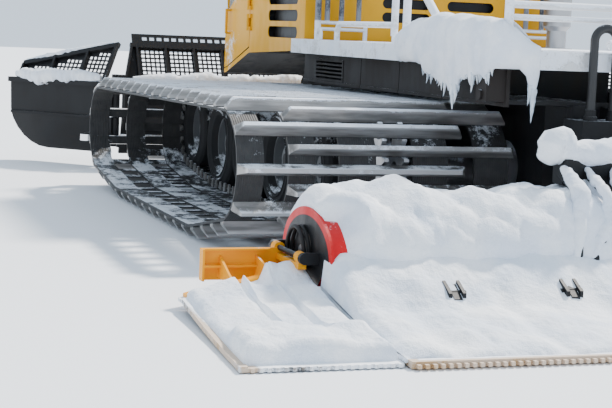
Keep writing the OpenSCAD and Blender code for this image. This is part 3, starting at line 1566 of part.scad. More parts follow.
module tiller_frame() {
  x0 = frame_x1 - frame_w;
  mid = (x0 + frame_x1) / 2;
  lug_r = 42;
  lug_rise = 58;
  foot_z = mat_flange_z + flange_t + seat;
  hoop_r = 110;
  hoop_y = [tiller_half + 11, tiller_half + 33];
  color("darkslategray") from_sprocket() difference() {
    union() {
      translate([x0, -beam_half, swing_z - 55]) cube([frame_w, 2 * beam_half, 110]);
      both_sides() {
        // Lug at the beam's end
        difference() {
          across(beam_half - 30, beam_half + 4) {
            translate([mid - lug_r, swing_z - 60]) square([2 * lug_r, 60 + lug_rise]);
            translate([mid, swing_z + lug_rise]) circle(r = lug_r);
          }
          rod_y(mid, swing_z + lug_rise, 18, beam_half - 40, beam_half + 10);
        }
        // Legs down to the cover
        for (y = leg_y) difference() {
          across(y, y + 50) polygon([
            [x0, swing_z - 50], [frame_x1, swing_z - 50], [frame_x1 - 30, 350], [x0 - 60, 350]
          ]);
          across(y - 1, y + 51) bow_outline(seat);
        }
        // Two bent arms that meet on the cover's rear edge, and the rod beside them
        for (arm = [[0, 90, 24], [-250, 20, 24], [-110, -60, 13]])
          tubing([
            [x0 + 20, beam_half + arm[0], swing_z - 8],
            [cover_x - 245, beam_half + arm[0] + (arm[1] - arm[0]) * 0.3, 505],
            [mat_front_x - 66, beam_half + arm[1], foot_z + 18]
          ], arm[2]);
        translate([mat_front_x - flange_len + 3, beam_half - 90, foot_z]) cube([64, 220, 8]);
        // Arms that press on the mats, each with a clevis at its end
        for (y = press_y) {
          across(y - 18, y + 18) polygon([
            [mat_front_x - 28, foot_z], [mat_front_x - 28, foot_z + 24],
            [mat_front_x - 215, press_z(-215) + 44], [mat_front_x - 290, press_z(-290) + 36],
            [mat_front_x - 290, press_z(-290)], [mat_front_x - 225, press_z(-225)],
            [mat_front_x - flange_len - 3, foot_z]
          ]);
          for (side = [-1, 1]) across(y + side * 30 - 7, y + side * 30 + 7) polygon([
            [mat_front_x - 205, press_z(-205)], [mat_front_x - 205, press_z(-205) + 54],
            [mat_front_x - 280, press_z(-280) + 52], [mat_front_x - 280, press_z(-280)]
          ]);
          rod_y(mat_front_x - 245, press_z(-245) + 30, 11, y - 48, y + 48);
        }
        // Hoops that guard the rotor's motor at the end of the cover
        for (y = hoop_y) translate([rotor_x, y, rotor_z]) rotate([90, 0, 0]) bow_bar(hoop_r, 9, -20, 200);
        for (a = [-20, 90, 200]) rod_y(
          rotor_x + hoop_r * cos(a), rotor_z + hoop_r * sin(a), 7, tiller_half + seat, hoop_y[1]
        );
      }
    }
    translate([x0 + 10, 0, swing_z]) rotate([0, 90, 0]) cylinder(h = frame_w, r = roll_pin_r + pin_fit);
  }
}

beam_half = 950;
leg_y = [820, 420];
press_y = [1680, 1160, 560];
// Height over the mat at a distance behind its front, where a pressing arm seats
function press_z(dx) = lookup(mat_front_x + dx, mat_top) + seat;

// Cover: a rounded hood over the rotors, with end plates that carry the shafts

module hood_outline() {
  polygon(concat(
    bow(cover_rx, cover_rz),
    reversed(bow(cover_rx - cover_t, cover_rz - cover_t))
  ));
}

module end_outline() {
  inner = bow(cover_rx - 2, cover_rz - 2);
  polygon(concat(
    [for (i = [0 : len(inner) - 4]) inner[i]],
    [[cover_x - 150, 120], [cover_x + 160, 120]]
  ));
}

module tiller_cover() {
  color("firebrick") from_sprocket() {
    across(-tiller_half, tiller_half) hood_outline();
    both_sides() difference() {
      union() {
        across(tiller_half - end_t, tiller_half) end_outline();
        across(0, 25) end_outline();
        // Rim round the end, and the bearing of the shaft
        across(tiller_half - 12, tiller_half) difference() {
          bow_outline(8);
          bow_outline(-12);
        }
        rod_y(rotor_x, rotor_z, 78, tiller_half - end_t, tiller_half + 8);
      }
      rod_y(rotor_x, rotor_z, shaft_r + pin_fit, -1, tiller_half + 9);
    }
    // Lugs and pin of the side finisher
    both_sides() {
      for (x = fold_lugs) {
        along(x, x + fold_lug_t) translate([fold_y, fold_z]) circle(r = fold_eye_r);
        translate([x, tiller_half - 5, fold_z - fold_eye_r])
          cube([fold_lug_t, fold_y - tiller_half + 5, 2 * fold_eye_r]);
      }
      along(fold_lugs[0], fold_lugs[1] + fold_lug_t) translate([fold_y, fold_z]) circle(r = fold_pin_r);
    }
    // Flange that holds the mats
    translate([mat_front_x - flange_len, -tiller_half, mat_flange_z + seat])
      cube([cover_x - cover_rx + 20 - mat_front_x + flange_len, 2 * tiller_half, flange_t - seat]);
  }
}

// Rotors: a tube with tines set in a spiral

tine_step = 104;
tine_turn = 25;
tine_y0 = 100;
rotor_y1 = tiller_half - end_t - 8;

module rotor() {
  rod_y(rotor_x, rotor_z, 72, 33, rotor_y1);
  rod_y(rotor_x, rotor_z, shaft_r, 3, tiller_half + 9);
  for (i = [0 : floor((rotor_y1 - tine_y0 - 30) / tine_step)], a = [0 : 90 : 270])
    translate([rotor_x, tine_y0 + i * tine_step, rotor_z]) rotate([0, a + i * tine_turn, 0])
      translate([0, 0, -20]) linear_extrude(40) polygon([
        [60, -14], [rotor_r - 34, -12], [rotor_r - 4, -3], [rotor_r - 4, 9], [60, 14]
      ]);
}

module rotor_left() {
  color("gray") from_sprocket() rotor();
}

module rotor_right() {
  color("gray") from_sprocket() mirror([0, 1, 0]) rotor();
}

// Mats: the flexible finisher behind the cover, with battens and a comb along its end

mat_t = 18;
batten_step = 424;
batten_w = 34;
comb_step = 30;
// Width and depth of a tooth of the comb
comb_tooth = [14, 14];

module mats() {
  battens = floor(tiller_half / batten_step);
  teeth = floor((tiller_half - 20) / comb_step);
  t = mat_top;
  color("dimgray") from_sprocket() {
    across(-tiller_half, tiller_half) polygon(concat(t, reversed([for (p = t) [p[0] + 4, p[1] - mat_t]])));
    for (i = [-battens : battens - 1])
      across((i + 0.5) * batten_step - batten_w / 2, (i + 0.5) * batten_step + batten_w / 2) polygon(concat(
        [for (k = [1 : 3]) [t[k][0], t[k][1] + 9]], reversed([for (k = [1 : 3]) [t[k][0], t[k][1] - 2]])
      ));
    // Comb: a strip along the end, with a row of teeth behind it
    translate([tail_x + comb_out + 2, -tiller_half, t[0][1] - 2]) cube([46, 2 * tiller_half, 10]);
    for (i = [-teeth : teeth])
      translate([tail_x, i * comb_step - comb_tooth[0] / 2, t[0][1] - comb_tooth[1]])
        cube([comb_out + 6, comb_tooth[0], comb_tooth[1]]);
  }
}

// Side finishers: a curved mat that falls to its outer edge, and its painted frame on a hinge

fold_y = tiller_half + 60;
fold_z = 235;
fold_pin_r = 12;
fold_eye_r = 24;
fold_lugs = [-1640, -1250];
fold_lug_t = 28;
fold_eye_w = 50;
side_mat_in = tiller_half + 14;
side_mat_x = -1440;
side_clamp = 60;
side_tail_x = tail_x + 60;
// Height of the side mat's front edge at its inner and its outer end
side_front = [150, 34];
side_spread = 80;

// A point on the side mat's lower face: u runs outwards and t backwards, both from 0 to 1
function side_point(u, t, lift) =
  let (
    back = max(0, (t - 0.1) / 0.9),
    x = t == 0 ? side_mat_x : side_mat_x - side_clamp + (side_tail_x - side_mat_x + side_clamp) * back,
    y = side_mat_in + (finisher_w - side_spread + side_spread * back) * u,
    front = side_front[0] + (side_front[1] - side_front[0]) * u
  )
  [x, y, 4 + front * pow(1 - back, 2) + lift];

// A strip of the mat between two values of u and of t, from one lift to another
module side_sheet(u0, u1, ts, lift0, lift1) {
  n = len(ts);
  rows = [for (t = ts) [
    side_point(u0, t, lift0), side_point(u1, t, lift0), side_point(u1, t, lift1), side_point(u0, t, lift1)
  ]];
  polyhedron(
    points = [for (row = rows) each row],
    faces = concat(
      [[0, 1, 2, 3]],
      [for (i = [0 : n - 2], k = [0 : 3])
        let (a = 4 * i + k, b = 4 * i + (k + 1) % 4)
        each [[a, a + 4, b + 4], [a, b + 4, b]]],
      [[4 * n - 1, 4 * n - 2, 4 * n - 3, 4 * n - 4]]
    )
  );
}

side_ts = [0, 0.1, 0.2, 0.32, 0.46, 0.62, 0.8, 1];

module finisher_mats() {
  side_sheet(0, 1, side_ts, 0, 14);
  for (u = [0.26, 0.52]) side_sheet(u, u + 0.05, [0.1, 0.2, 0.32, 0.46], 12, 24);
  side_sheet(0.95, 1, [0.1, 0.2, 0.32, 0.46, 0.62, 0.8, 1], 12, 20);
  for (i = [0 : floor((finisher_w - 20) / comb_step) - 1])
    translate([side_tail_x - comb_tooth[1] + 6, side_mat_in + 8 + i * comb_step, 4])
      cube([comb_tooth[1], comb_tooth[0], comb_tooth[1]]);
}

module finisher() {
  plate_x = side_mat_x + 130;
  plate_y = [fold_y - 12, fold_y + 350];
  plate_z = [100, 235];
  rib_y = [fold_y + 100, fold_y + 260];
  eyes = [fold_lugs[0] + fold_lug_t + 3, fold_lugs[1] - fold_eye_w - 3];
  // Height of the clamp's lower face at y, on the mat's front edge
  function clamp_z(y) = side_point((y - side_mat_in) / (finisher_w - side_spread), 0, 14 + seat)[2];
  clamp_y = [side_mat_in + 4, side_mat_in + finisher_w - side_spread - 20];
  difference() {
    union() {
      // Front plate with a shelf, a lip and an end flange
      translate([plate_x, plate_y[0], plate_z[0]])
        cube([12, plate_y[1] - plate_y[0], plate_z[1] - plate_z[0]]);
      translate([plate_x - 38, plate_y[0], 158]) cube([40, plate_y[1] - plate_y[0], 9]);
      translate([plate_x - 20, plate_y[0] + 60, plate_z[1] - 8])
        cube([22, plate_y[1] - plate_y[0] - 60, 8]);
      translate([plate_x - 38, plate_y[1] - 10, plate_z[0]]) cube([50, 10, plate_z[1] - plate_z[0]]);
      // Clamp bar on the mat's front edge, and the ribs that join it to the plate
      along(side_mat_x - side_clamp + 4, side_mat_x) polygon([
        [clamp_y[0], clamp_z(clamp_y[0])], [clamp_y[1], clamp_z(clamp_y[1])],
        [clamp_y[1], clamp_z(clamp_y[1]) + 14], [clamp_y[0], clamp_z(clamp_y[0]) + 14]
      ]);
      for (y = rib_y) across(y, y + 10) polygon([
        [plate_x + 2, plate_z[0] + 10], [plate_x + 2, plate_z[1] - 30], [side_mat_x - 30, clamp_z(y) + 44],
        [side_mat_x - 50, clamp_z(y) + 40], [side_mat_x - 50, clamp_z(y) + 8], [side_mat_x, clamp_z(y) + 8],
        [side_mat_x + 6, plate_z[0] + 10]
      ]);
      // Beam under the hinge, and the eyes on the pin
      translate([eyes[0], fold_y - 16, fold_z - 46]) cube([plate_x + 4 - eyes[0], 34, 24]);
      for (x = eyes) {
        along(x, x + fold_eye_w) translate([fold_y, fold_z]) circle(r = fold_eye_r);
        translate([x, fold_y - 16, fold_z - 46]) cube([fold_eye_w, 32, 46]);
      }
      translate([side_mat_x - side_clamp + 6, fold_y - 16, clamp_z(fold_y - 16) + 4])
        cube([side_clamp - 10, 32, fold_z - 44 - clamp_z(fold_y - 16)]);
    }
    along(fold_lugs[0], fold_lugs[1] + fold_lug_t)
      translate([fold_y, fold_z]) circle(r = fold_pin_r + pin_fit);
  }
}

module finisher_left() {
  color("orange") from_sprocket() finisher();
}

module finisher_right() {
  color("orange") from_sprocket() mirror([0, 1, 0]) finisher();
}

module finisher_mats_left() {
  color("dimgray") from_sprocket() finisher_mats();
}

module finisher_mats_right() {
  color("dimgray") from_sprocket() mirror([0, 1, 0]) finisher_mats();
}

module tiller_lift_barrels() {
  color("dimgray") from_sprocket() both_sides()
    in_xz(rear_foot, rear_eye, rear_lift_y) ram_barrel(rear_ram);
}

module tiller_lift_rods() {
  color("silver") from_sprocket() both_sides() in_xz(rear_foot, rear_eye, rear_lift_y) ram_rod(rear_ram);
}

tub();
axles();
engine();
sprockets();
tyres();
rims();
track_left();
track_right();
side_panels();
hoses();
deck();
deck_rails();
cab_shell();
cab_roof();
cab_glass();
door_left();
door_right();
door_glass_left();
door_glass_right();
seats();
console();
lamps();
mirrors();
exhaust();
push_frame();
blade_yoke();
blade();
blade_screen();
wing_left();
wing_right();
wing_mesh_left();
wing_mesh_right();
blade_lift_barrels();
blade_lift_rods();
angle_barrel_left();
angle_rod_left();
angle_barrel_right();
angle_rod_right();
wing_barrel_left();
wing_rod_left();
wing_barrel_right();
wing_rod_right();
carrier();
swing_head();
tiller_frame();
tiller_cover();
rotor_left();
rotor_right();
mats();
finisher_left();
finisher_right();
finisher_mats_left();
finisher_mats_right();
tiller_lift_barrels();
tiller_lift_rods();
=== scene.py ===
# %% [markdown]
# A snow groomer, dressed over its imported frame. The machine was worked in fresh snow:
# its paint is frosted, its tracks are bright bars on rubber, and snow lies packed on
# the tiller. Every length here is in metres, with +X to the blade, +Y to the machine's
# left and +Z up.
# We load the frame first, because every piece made later is placed from it.

# %% Load the frame
import math

import bpy
import numpy as np
from mathutils import Matrix, Vector


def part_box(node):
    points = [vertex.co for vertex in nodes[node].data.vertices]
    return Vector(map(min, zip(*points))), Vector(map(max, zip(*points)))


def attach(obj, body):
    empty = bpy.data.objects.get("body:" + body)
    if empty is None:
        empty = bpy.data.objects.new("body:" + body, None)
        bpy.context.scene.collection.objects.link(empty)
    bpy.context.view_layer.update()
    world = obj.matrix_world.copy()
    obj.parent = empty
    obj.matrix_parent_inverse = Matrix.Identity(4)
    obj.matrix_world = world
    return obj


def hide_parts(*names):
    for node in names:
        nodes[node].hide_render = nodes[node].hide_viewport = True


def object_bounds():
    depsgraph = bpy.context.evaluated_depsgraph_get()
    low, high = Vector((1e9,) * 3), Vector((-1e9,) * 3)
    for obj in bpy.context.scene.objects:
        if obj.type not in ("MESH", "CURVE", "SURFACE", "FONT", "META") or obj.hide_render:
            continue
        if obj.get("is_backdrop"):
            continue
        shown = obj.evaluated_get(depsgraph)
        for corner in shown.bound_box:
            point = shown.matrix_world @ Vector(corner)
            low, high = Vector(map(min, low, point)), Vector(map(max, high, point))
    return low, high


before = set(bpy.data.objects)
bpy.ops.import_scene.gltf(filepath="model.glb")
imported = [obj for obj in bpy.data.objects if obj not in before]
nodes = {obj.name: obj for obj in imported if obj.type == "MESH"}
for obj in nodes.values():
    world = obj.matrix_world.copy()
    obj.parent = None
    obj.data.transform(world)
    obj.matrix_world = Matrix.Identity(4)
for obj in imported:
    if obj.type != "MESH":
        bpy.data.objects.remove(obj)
cad_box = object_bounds()


def add_object(name, data):
    """A new object in the scene."""
    made = bpy.data.objects.new(name, data)
    bpy.context.scene.collection.objects.link(made)
    return made


def middle(node):
    """The middle of a node's box."""
    low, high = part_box(node)
    return (Vector(low) + Vector(high)) / 2


sprocket_x = middle("sprockets").x
print("sprocket axis at x", round(sprocket_x, 4))

# %% [markdown]
# The camera stands low behind the machine's left rear corner and looks forward along
# the track. Its place was worked out from the track's bars and wheels, so it is kept as
# plain numbers: a position counted from the rear sprocket, three angles and a focal
# length in pixels, which becomes millimetres of a 36 mm sensor.

# %% Camera
PHOTO_WIDTH = 612
SENSOR = 36
SEEN_TO = 200
focal_pixels = 1514.15
camera_from_sprocket = Vector((-7.3763, 4.1905, 1.1455))
yaw = 0.336055
pitch = -0.112062
roll = 0.041148

forward = Vector((math.cos(pitch) * math.cos(yaw), -math.cos(pitch) * math.sin(yaw), math.sin(pitch)))
level_right = Vector((-math.sin(yaw), -math.cos(yaw), 0))
level_up = level_right.cross(forward)
right = level_right * math.cos(roll) + level_up * math.sin(roll)
up = level_up * math.cos(roll) - level_right * math.sin(roll)

camera = add_object("camera", bpy.data.cameras.new("camera"))
camera.data.lens = focal_pixels / PHOTO_WIDTH * SENSOR
camera.data.sensor_width = SENSOR
camera.data.clip_end = SEEN_TO
turn = Matrix((right, up, -forward)).transposed().to_4x4()
camera.matrix_world = Matrix.Translation(camera_from_sprocket + Vector((sprocket_x, 0, 0))) @ turn
bpy.context.scene.camera = camera
print("lens", round(camera.data.lens, 1), "mm")

# %% [markdown]
# Every new piece here is a skin of points worked out with numpy. One helper numbers the
# faces between rings of points, and one makes points and faces into an object that rides
# on a body. A closed skin is checked by its volume: if that comes out negative, its faces
# point inwards and are turned round.

# %% Mesh helpers
def ring_faces(rings, count):
    """Four-sided faces between rings of count points each. A ring's last point is joined to its first."""
    ring = np.arange(rings - 1)[:, None] * count
    here = np.arange(count)[None]
    after = (here + 1) % count
    corners = (ring + here, ring + after, ring + count + after, ring + count + here)
    return np.stack(corners, axis=-1).reshape(-1, 4)


def volume(points, faces):
    """Volume inside a closed skin: the sum of the pyramids from the origin to each face."""
    a, b, c = points[faces[:, 0]], points[faces[:, 1]], points[faces[:, 2]]
    total = np.einsum("ij,ij->i", np.cross(a, b), c).sum()
    if faces.shape[1] == 4:
        d = points[faces[:, 3]]
        total += np.einsum("ij,ij->i", np.cross(a, c), d).sum()
    return total / 6


SHARP_FROM = math.radians(50)


def make_piece(name, part, body, finish):
    """An object that rides on a body. A part is points, counted from the rear sprocket's axis, and faces."""
    points, faces = part
    mesh = bpy.data.meshes.new(name)
    in_frame = points + np.array([sprocket_x, 0, 0])
    mesh.from_pydata(in_frame.tolist(), [], [face for block in faces for face in block.tolist()])
    mesh.update()
    mesh.shade_smooth()
    mesh.set_sharp_from_angle(angle=SHARP_FROM)
    mesh.materials.append(finish)
    made = add_object(name, mesh)
    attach(made, body)
    print(name, len(points), "points,", len(mesh.polygons), "faces")
    return made


# %% [markdown]
# A sweep is a closed outline carried along a path: each point is the path's point plus
# so much across and so much up. The outline may change on the way, and a fan of
# triangles closes both ends. Snow on a beam, an icicle and a cushion are all sweeps. A
# frame for the path gives the two directions at each of its points.

# %% Sweeps
FORWARD = np.array([1.0, 0, 0])
LEFTWARD = np.array([0, 1.0, 0])
UPWARD = np.array([0, 0, 1.0])


def closed_skin(skin):
    """A closed skin through rings of points, with a fan of triangles at both ends."""
    rings, count = skin.shape[:2]
    points = np.vstack((skin.reshape(-1, 3), skin[0].mean(axis=0), skin[-1].mean(axis=0)))
    quads = ring_faces(rings, count)
    here = np.arange(count)
    after = (here + 1) % count
    last = (rings - 1) * count
    first_end = np.stack((after, here, np.full(count, rings * count)), axis=-1)
    last_end = np.stack((last + here, last + after, np.full(count, rings * count + 1)), axis=-1)
    blocks = [quads, first_end, last_end]
    if sum(volume(points, block) for block in blocks) < 0:
        blocks = [block[:, ::-1] for block in blocks]
    return points, blocks


def sweep(path, across, lift, outline):
    """Closed skin of an outline along a path: path + outline[..., 0] * across + outline[..., 1] * lift."""
    across, lift = (np.broadcast_to(way, path.shape)[:, None] for way in (across, lift))
    return closed_skin(path[:, None] + outline[..., :1] * across + outline[..., 1:] * lift)


def from_side_to_side(y, x, z):
    """Closed skin whose ring at each y has the points (x, z)."""
    return closed_skin(np.stack((x, np.broadcast_to(y[:, None], x.shape), z), axis=-1))


def joined(parts):
    """Several skins as one: their points in one list, and their faces counted on."""
    points = []
    faces = []
    start = 0
    for some_points, some_faces in parts:
        points.append(some_points)
        faces += [block + start for block in some_faces]
        start += len(some_points)
    return np.vstack(points), faces


def mirrored(part):
    """The mirror image of a skin on the machine's other side."""
    points, faces = part
    return points * np.array([1, -1, 1]), [block[:, ::-1] for block in faces]


def moved(part, by):
    """A skin moved by a vector."""
    points, faces = part
    return points + np.array(by), faces


def resampled(corners, count):
    """Evenly spaced points along straight lines between corners."""
    corners = np.asarray(corners, dtype=float)
    lengths = np.linalg.norm(np.diff(corners, axis=0), axis=1)
    reached = np.concatenate(([0], np.cumsum(lengths)))
    wanted = np.linspace(0, reached[-1], count)
    return np.stack([np.interp(wanted, reached, corners[:, axis]) for axis in range(3)], axis=-1)


def unit(vectors):
    """The vectors at length 1."""
    return vectors / np.linalg.norm(vectors, axis=1, keepdims=True)


def path_frame(path):
    """Two directions square to a path: one across it and level, and one square to both."""
    along = unit(np.gradient(path, axis=0))
    across = np.cross(along, UPWARD)
    size = np.linalg.norm(across, axis=1, keepdims=True)
    across = np.where(size > 0.05, across / np.maximum(size, 1e-6), LEFTWARD)
    return across, unit(np.cross(across, along))


def circle(count):
    """Points spread evenly on a circle of radius 1."""
    angle = np.linspace(0, 2 * np.pi, count, endpoint=False)
    return np.stack((np.cos(angle), np.sin(angle)), axis=-1)


def ramp(values):
    """The values held between 0 and 1."""
    return np.clip(values, 0, 1)


def within(values, low, high, edge):
    """1 between low and high, 0 outside, and a straight rise over the edge's width at both ends."""
    return ramp(np.minimum(values - low, high - values) / edge)


def quarter_round(share):
    """The height of a quarter circle: 0 at 0, steep at first, and 1 at 1."""
    return np.sqrt(share * (2 - share))


# %% [markdown]
# Packed snow has round lumps with sharp creases between them. Random values in a grid of
# cubes, blended, give smooth hills, and folding those at their middle leaves a crease
# wherever they cross it. Domes about random centres look like shovelled heaps. Added up in
# a few sizes they look like snow that was thrown, settled and thrown again. The random
# tables are seeded, so the snow lies the same in every run.

# %% Lumps
TABLE_SIZE = 48
FIRST_CUBE = 400


def cubes(points, size):
    """Each point's place counted in cubes of a size, and the cube that it is in, counted from far outside."""
    place = points / size + FIRST_CUBE
    return place, np.floor(place).astype(int)


def hills(points, size, seed):
    """Smooth values from 0 to 1: random numbers at the corners of cubes, blended by a smooth step."""
    table = np.random.default_rng(seed).random((TABLE_SIZE, TABLE_SIZE, TABLE_SIZE))
    place, cell = cubes(points, size)
    part = place - cell
    part = part * part * (3 - 2 * part)
    total = np.zeros(place.shape[:-1])
    for corner in np.ndindex(2, 2, 2):
        weight = np.prod(np.where(np.array(corner), part, 1 - part), axis=-1)
        at = (cell + np.array(corner)) % TABLE_SIZE
        total += weight * table[at[..., 0], at[..., 1], at[..., 2]]
    return total


def lumps(points, size, seed):
    """Round lumps from 0 to 1 with creases between them: |2 hills - 1| in three sizes that about halve."""
    total = 0
    for step, share in enumerate((0.58, 0.28, 0.14)):
        total = total + share * np.abs(2 * hills(points, size / 2.1 ** step, seed + step) - 1)
    return total


def domes(points, size, seed):
    """Round heaps up to 1: each cube has a random centre, with 1 - (distance / size) squared about it."""
    table = np.random.default_rng(seed).random((TABLE_SIZE, TABLE_SIZE, TABLE_SIZE, 3))
    place, cell = cubes(points, size)
    highest = np.zeros(place.shape[:-1])
    for corner in np.ndindex(3, 3, 3):
        near = cell + np.array(corner) - 1
        at = near % TABLE_SIZE
        centre = near + table[at[..., 0], at[..., 1], at[..., 2]]
        highest = np.maximum(highest, 1 - ((place - centre) ** 2).sum(axis=-1))
    return highest


def crust(corners, radius, thickness, lift_by, seed, rows=60, columns=18, lump=0.09):
    """Snow round a tube: a circle of radius plus lumps that tapers at both ends, moved up by lift_by."""
    path = resampled(corners, rows)
    across, lift = path_frame(path)
    ring = circle(columns)
    skin = path[:, None] + radius * (ring[:, :1] * across[:, None] + ring[:, 1:] * lift[:, None])
    grown = radius + thickness * (0.25 + 1.1 * lumps(skin, lump, seed))
    taper = np.sin(np.linspace(0.06, np.pi - 0.06, rows)) ** 0.35
    grown = np.maximum(grown * taper[:, None], 0.3 * radius)
    outline = ring[None] * grown[..., None]
    outline[..., 1] += lift_by
    return sweep(path, across, lift, outline)


print("hills at one point", round(float(hills(np.array([0.1, 0.2, 0.3]), 0.2, 1)), 3))

# %% [markdown]
# Materials are written as sums. `Value` wraps one socket of a shader, so that
# `1 - mask * 0.5` adds the Math nodes that work it out. `Finish` is one material: it
# adds any node by its type, its settings and its inputs, mixes colours through a Mix
# node, and gives the few patterns that the machine's finishes share.

# %% Shader values
def shader_math(operation):
    """A method of Value that gives an operation's result for its value and others."""
    def method(self, *others):
        return self.math(operation, *others)

    return method


class Value:
    """A number in a shader. Its operators add the Math nodes that work it out."""

    def __init__(self, finish, socket):
        self.finish = finish
        self.socket = socket

    def math(self, operation, *others):
        return self.finish.math(operation, self, *others)

    __add__ = __radd__ = shader_math("ADD")
    __sub__ = shader_math("SUBTRACT")
    __mul__ = __rmul__ = shader_math("MULTIPLY")
    __truediv__ = shader_math("DIVIDE")
    __pow__ = shader_math("POWER")
    __abs__ = shader_math("ABSOLUTE")
    most = shader_math("MAXIMUM")
    least = shader_math("MINIMUM")
    over = shader_math("GREATER_THAN")
    under = shader_math("LESS_THAN")
    wave = shader_math("SINE")

    def __rsub__(self, other):
        return self.finish.math("SUBTRACT", other, self)

    def __neg__(self):
        return self * -1

    def between(self, low, high):
        """1 from low to high, and 0 outside."""
        return self.over(low) * self.under(high)

    def step(self, low, high):
        """0 below low, 1 above high, and a smooth rise between them."""
        settings = {"interpolation_type": "SMOOTHSTEP"}
        inputs = {"Value": self, "From Min": low, "From Max": high}
        return Value(self.finish, self.finish.node("ShaderNodeMapRange", settings, inputs).outputs["Result"])


class Finish:
    """One material, built up from nodes."""

    def __init__(self, name):
        self.material = bpy.data.materials.new(name)
        self.material.use_nodes = True
        self.tree = self.material.node_tree
        self.surface = self.tree.nodes["Principled BSDF"]

    def put(self, socket, value):
        """Links a value to a socket, or sets the socket to a number or a colour."""
        if isinstance(value, Value):
            self.tree.links.new(value.socket, socket)
        elif isinstance(value, bpy.types.NodeSocket):
            self.tree.links.new(value, socket)
        else:
            socket.default_value = value

    def node(self, kind, settings=None, inputs=None):
        """A node of a kind: its settings are made first, and then its inputs."""
        made = self.tree.nodes.new(kind)
        for key, value in (settings or {}).items():
            setattr(made, key, value)
        for key, value in (inputs or {}).items():
            self.put(made.inputs[key], value)
        return made

    def math(self, operation, *values):
        made = self.node("ShaderNodeMath", {"operation": operation}, dict(enumerate(values)))
        return Value(self, made.outputs[0])

    def place(self):
        """Object coordinates, which stay with a piece when it moves."""
        return self.node("ShaderNodeTexCoord").outputs["Object"]

    def axes(self, vector):
        """The three numbers of a vector."""
        parts = self.node("ShaderNodeSeparateXYZ", {}, {0: vector})
        return [Value(self, parts.outputs[axis]) for axis in range(3)]

    def facing_up(self):
        """1 on a level top, 0 on a wall and -1 underneath."""
        return self.axes(self.node("ShaderNodeNewGeometry").outputs["Normal"])[2]

    def noise(self, scale, detail=3, stretch=(1, 1, 1)):
        """Soft random values about 0.5, with a scale in lumps per metre."""
        vector = self.place()
        if stretch != (1, 1, 1):
            settings = {"operation": "MULTIPLY"}
            vector = self.node("ShaderNodeVectorMath", settings, {0: vector, 1: stretch}).outputs[0]
        inputs = {"Vector": vector, "Scale": scale, "Detail": detail}
        return Value(self, self.node("ShaderNodeTexNoise", {}, inputs).outputs["Fac"])

    def cells(self, scale):
        """Distance to the nearest of many random points, for pits and grains."""
        inputs = {"Vector": self.place(), "Scale": scale}
        return Value(self, self.node("ShaderNodeTexVoronoi", {}, inputs).outputs["Distance"])

    def mix(self, factor, first, second):
        """A colour between two colours."""
        made = self.node("ShaderNodeMix", {"data_type": "RGBA"})
        for socket, value in ((made.inputs[0], factor), (made.inputs[6], first), (made.inputs[7], second)):
            self.put(socket, value)
        return made.outputs[2]

    def bump(self, height, distance, strength=1.0):
        """Tilts the surface by a height in units of distance."""
        made = self.node("ShaderNodeBump", {}, {"Strength": strength, "Distance": distance, "Height": height})
        self.put(self.surface.inputs["Normal"], made.outputs[0])

    def set(self, **values):
        """Sets the surface's own sockets, with underscores for the spaces in their names."""
        for key, value in values.items():
            self.put(self.surface.inputs[key.replace("_", " ")], value)


def rgb(red, green, blue):
    return (red, green, blue, 1)


SNOW_BRIGHT = rgb(0.93, 0.95, 0.98)
# SNOW_SHADE is painted shade: the blue of shaded snow, mixed into snow and frost in noise patches.
SNOW_SHADE = rgb(0.74, 0.80, 0.89)

# %% [markdown]
# Frost is what ties this machine together. It sits where snow was thrown or melted and
# froze again: on tops more than on walls, and in patches. One function gives that mask
# from three sizes of noise and the way the surface faces, and every finish below mixes
# its own colour with snow by it. The frost is rough and stands a little proud.

# %% Frost and snow
def frost_mask(finish, amount, top=0.35, scale=4.0, extra=0.0):
    """Patches from 0 to 1: noise in three sizes, with more on tops. A higher amount covers more."""
    grain = finish.noise(scale, 2) * 0.5
    for finer, share in ((5, 0.3), (24, 0.2)):
        grain = grain + finish.noise(scale * finer, 2) * share
    return (grain + finish.facing_up() * top + extra).step(1.0 - amount, 1.12 - amount)


def nothing(finish):
    """A mark that is nowhere."""
    return 0.0


def frosted(
    name, colour, second, amount, rough, metal=0.0, coat=0.0, top=0.35, grime=0.35, gloss=0.5,
    other=nothing, other_colour=rgb(0.008, 0.008, 0.009), extra_frost=nothing, relief=nothing,
):
    """A coat of colour that drifts to a second colour in dirty patches, under frost.

    other, extra_frost and relief are functions of the finish. They say where another
    colour shows (on the cab, near-black painted shade), where more frost lies, and what height is added.
    """
    finish = Finish(name)
    dirt = (finish.noise(2.2, 4) * 0.6 + finish.noise(14, 3, (1, 1, 0.35)) * 0.4).step(0.42, 0.66)
    elsewhere = other(finish)
    frost = frost_mask(finish, amount, top, 4.0, extra_frost(finish)) * (1 - elsewhere * 0.8)
    speck = finish.noise(160, 2).step(0.52, 0.7)
    base = finish.mix(elsewhere, finish.mix(dirt * grime, colour, second), other_colour)
    ice = finish.mix(finish.noise(9, 2), SNOW_SHADE, SNOW_BRIGHT)
    finish.set(
        Base_Color=finish.mix(frost, base, ice),
        Roughness=(rough + dirt * 0.18 + speck * 0.06) * (1 - frost) + frost * 0.78,
    )
    if metal:
        finish.set(Metallic=(1 - frost) * metal)
    if coat:
        finish.set(Coat_Weight=(1 - frost) * (1 - dirt * 0.6) * coat)
    finish.set(Coat_Roughness=0.18, Specular_IOR_Level=gloss)
    height = frost * (0.6 + finish.noise(60, 3)) + finish.noise(35, 3) * 0.08 + relief(finish)
    finish.bump(height, 0.004, 0.9)
    return finish


def snow_finish(name):
    """Packed snow: nearly white, with noise patches of blue painted shade, and crystals as a fine bump."""
    finish = Finish(name)
    drift = finish.noise(5, 4)
    grain = finish.noise(180, 3) * 0.35 + finish.noise(38, 4) * 0.65
    finish.set(
        Base_Color=finish.mix(drift.step(0.35, 0.65), SNOW_SHADE, SNOW_BRIGHT),
        Roughness=0.62 + grain * 0.2,
        Specular_IOR_Level=0.35,
    )
    finish.bump(grain + finish.cells(26) * 0.25, 0.012, 0.85)
    return finish.material


snow = snow_finish("packed_snow")

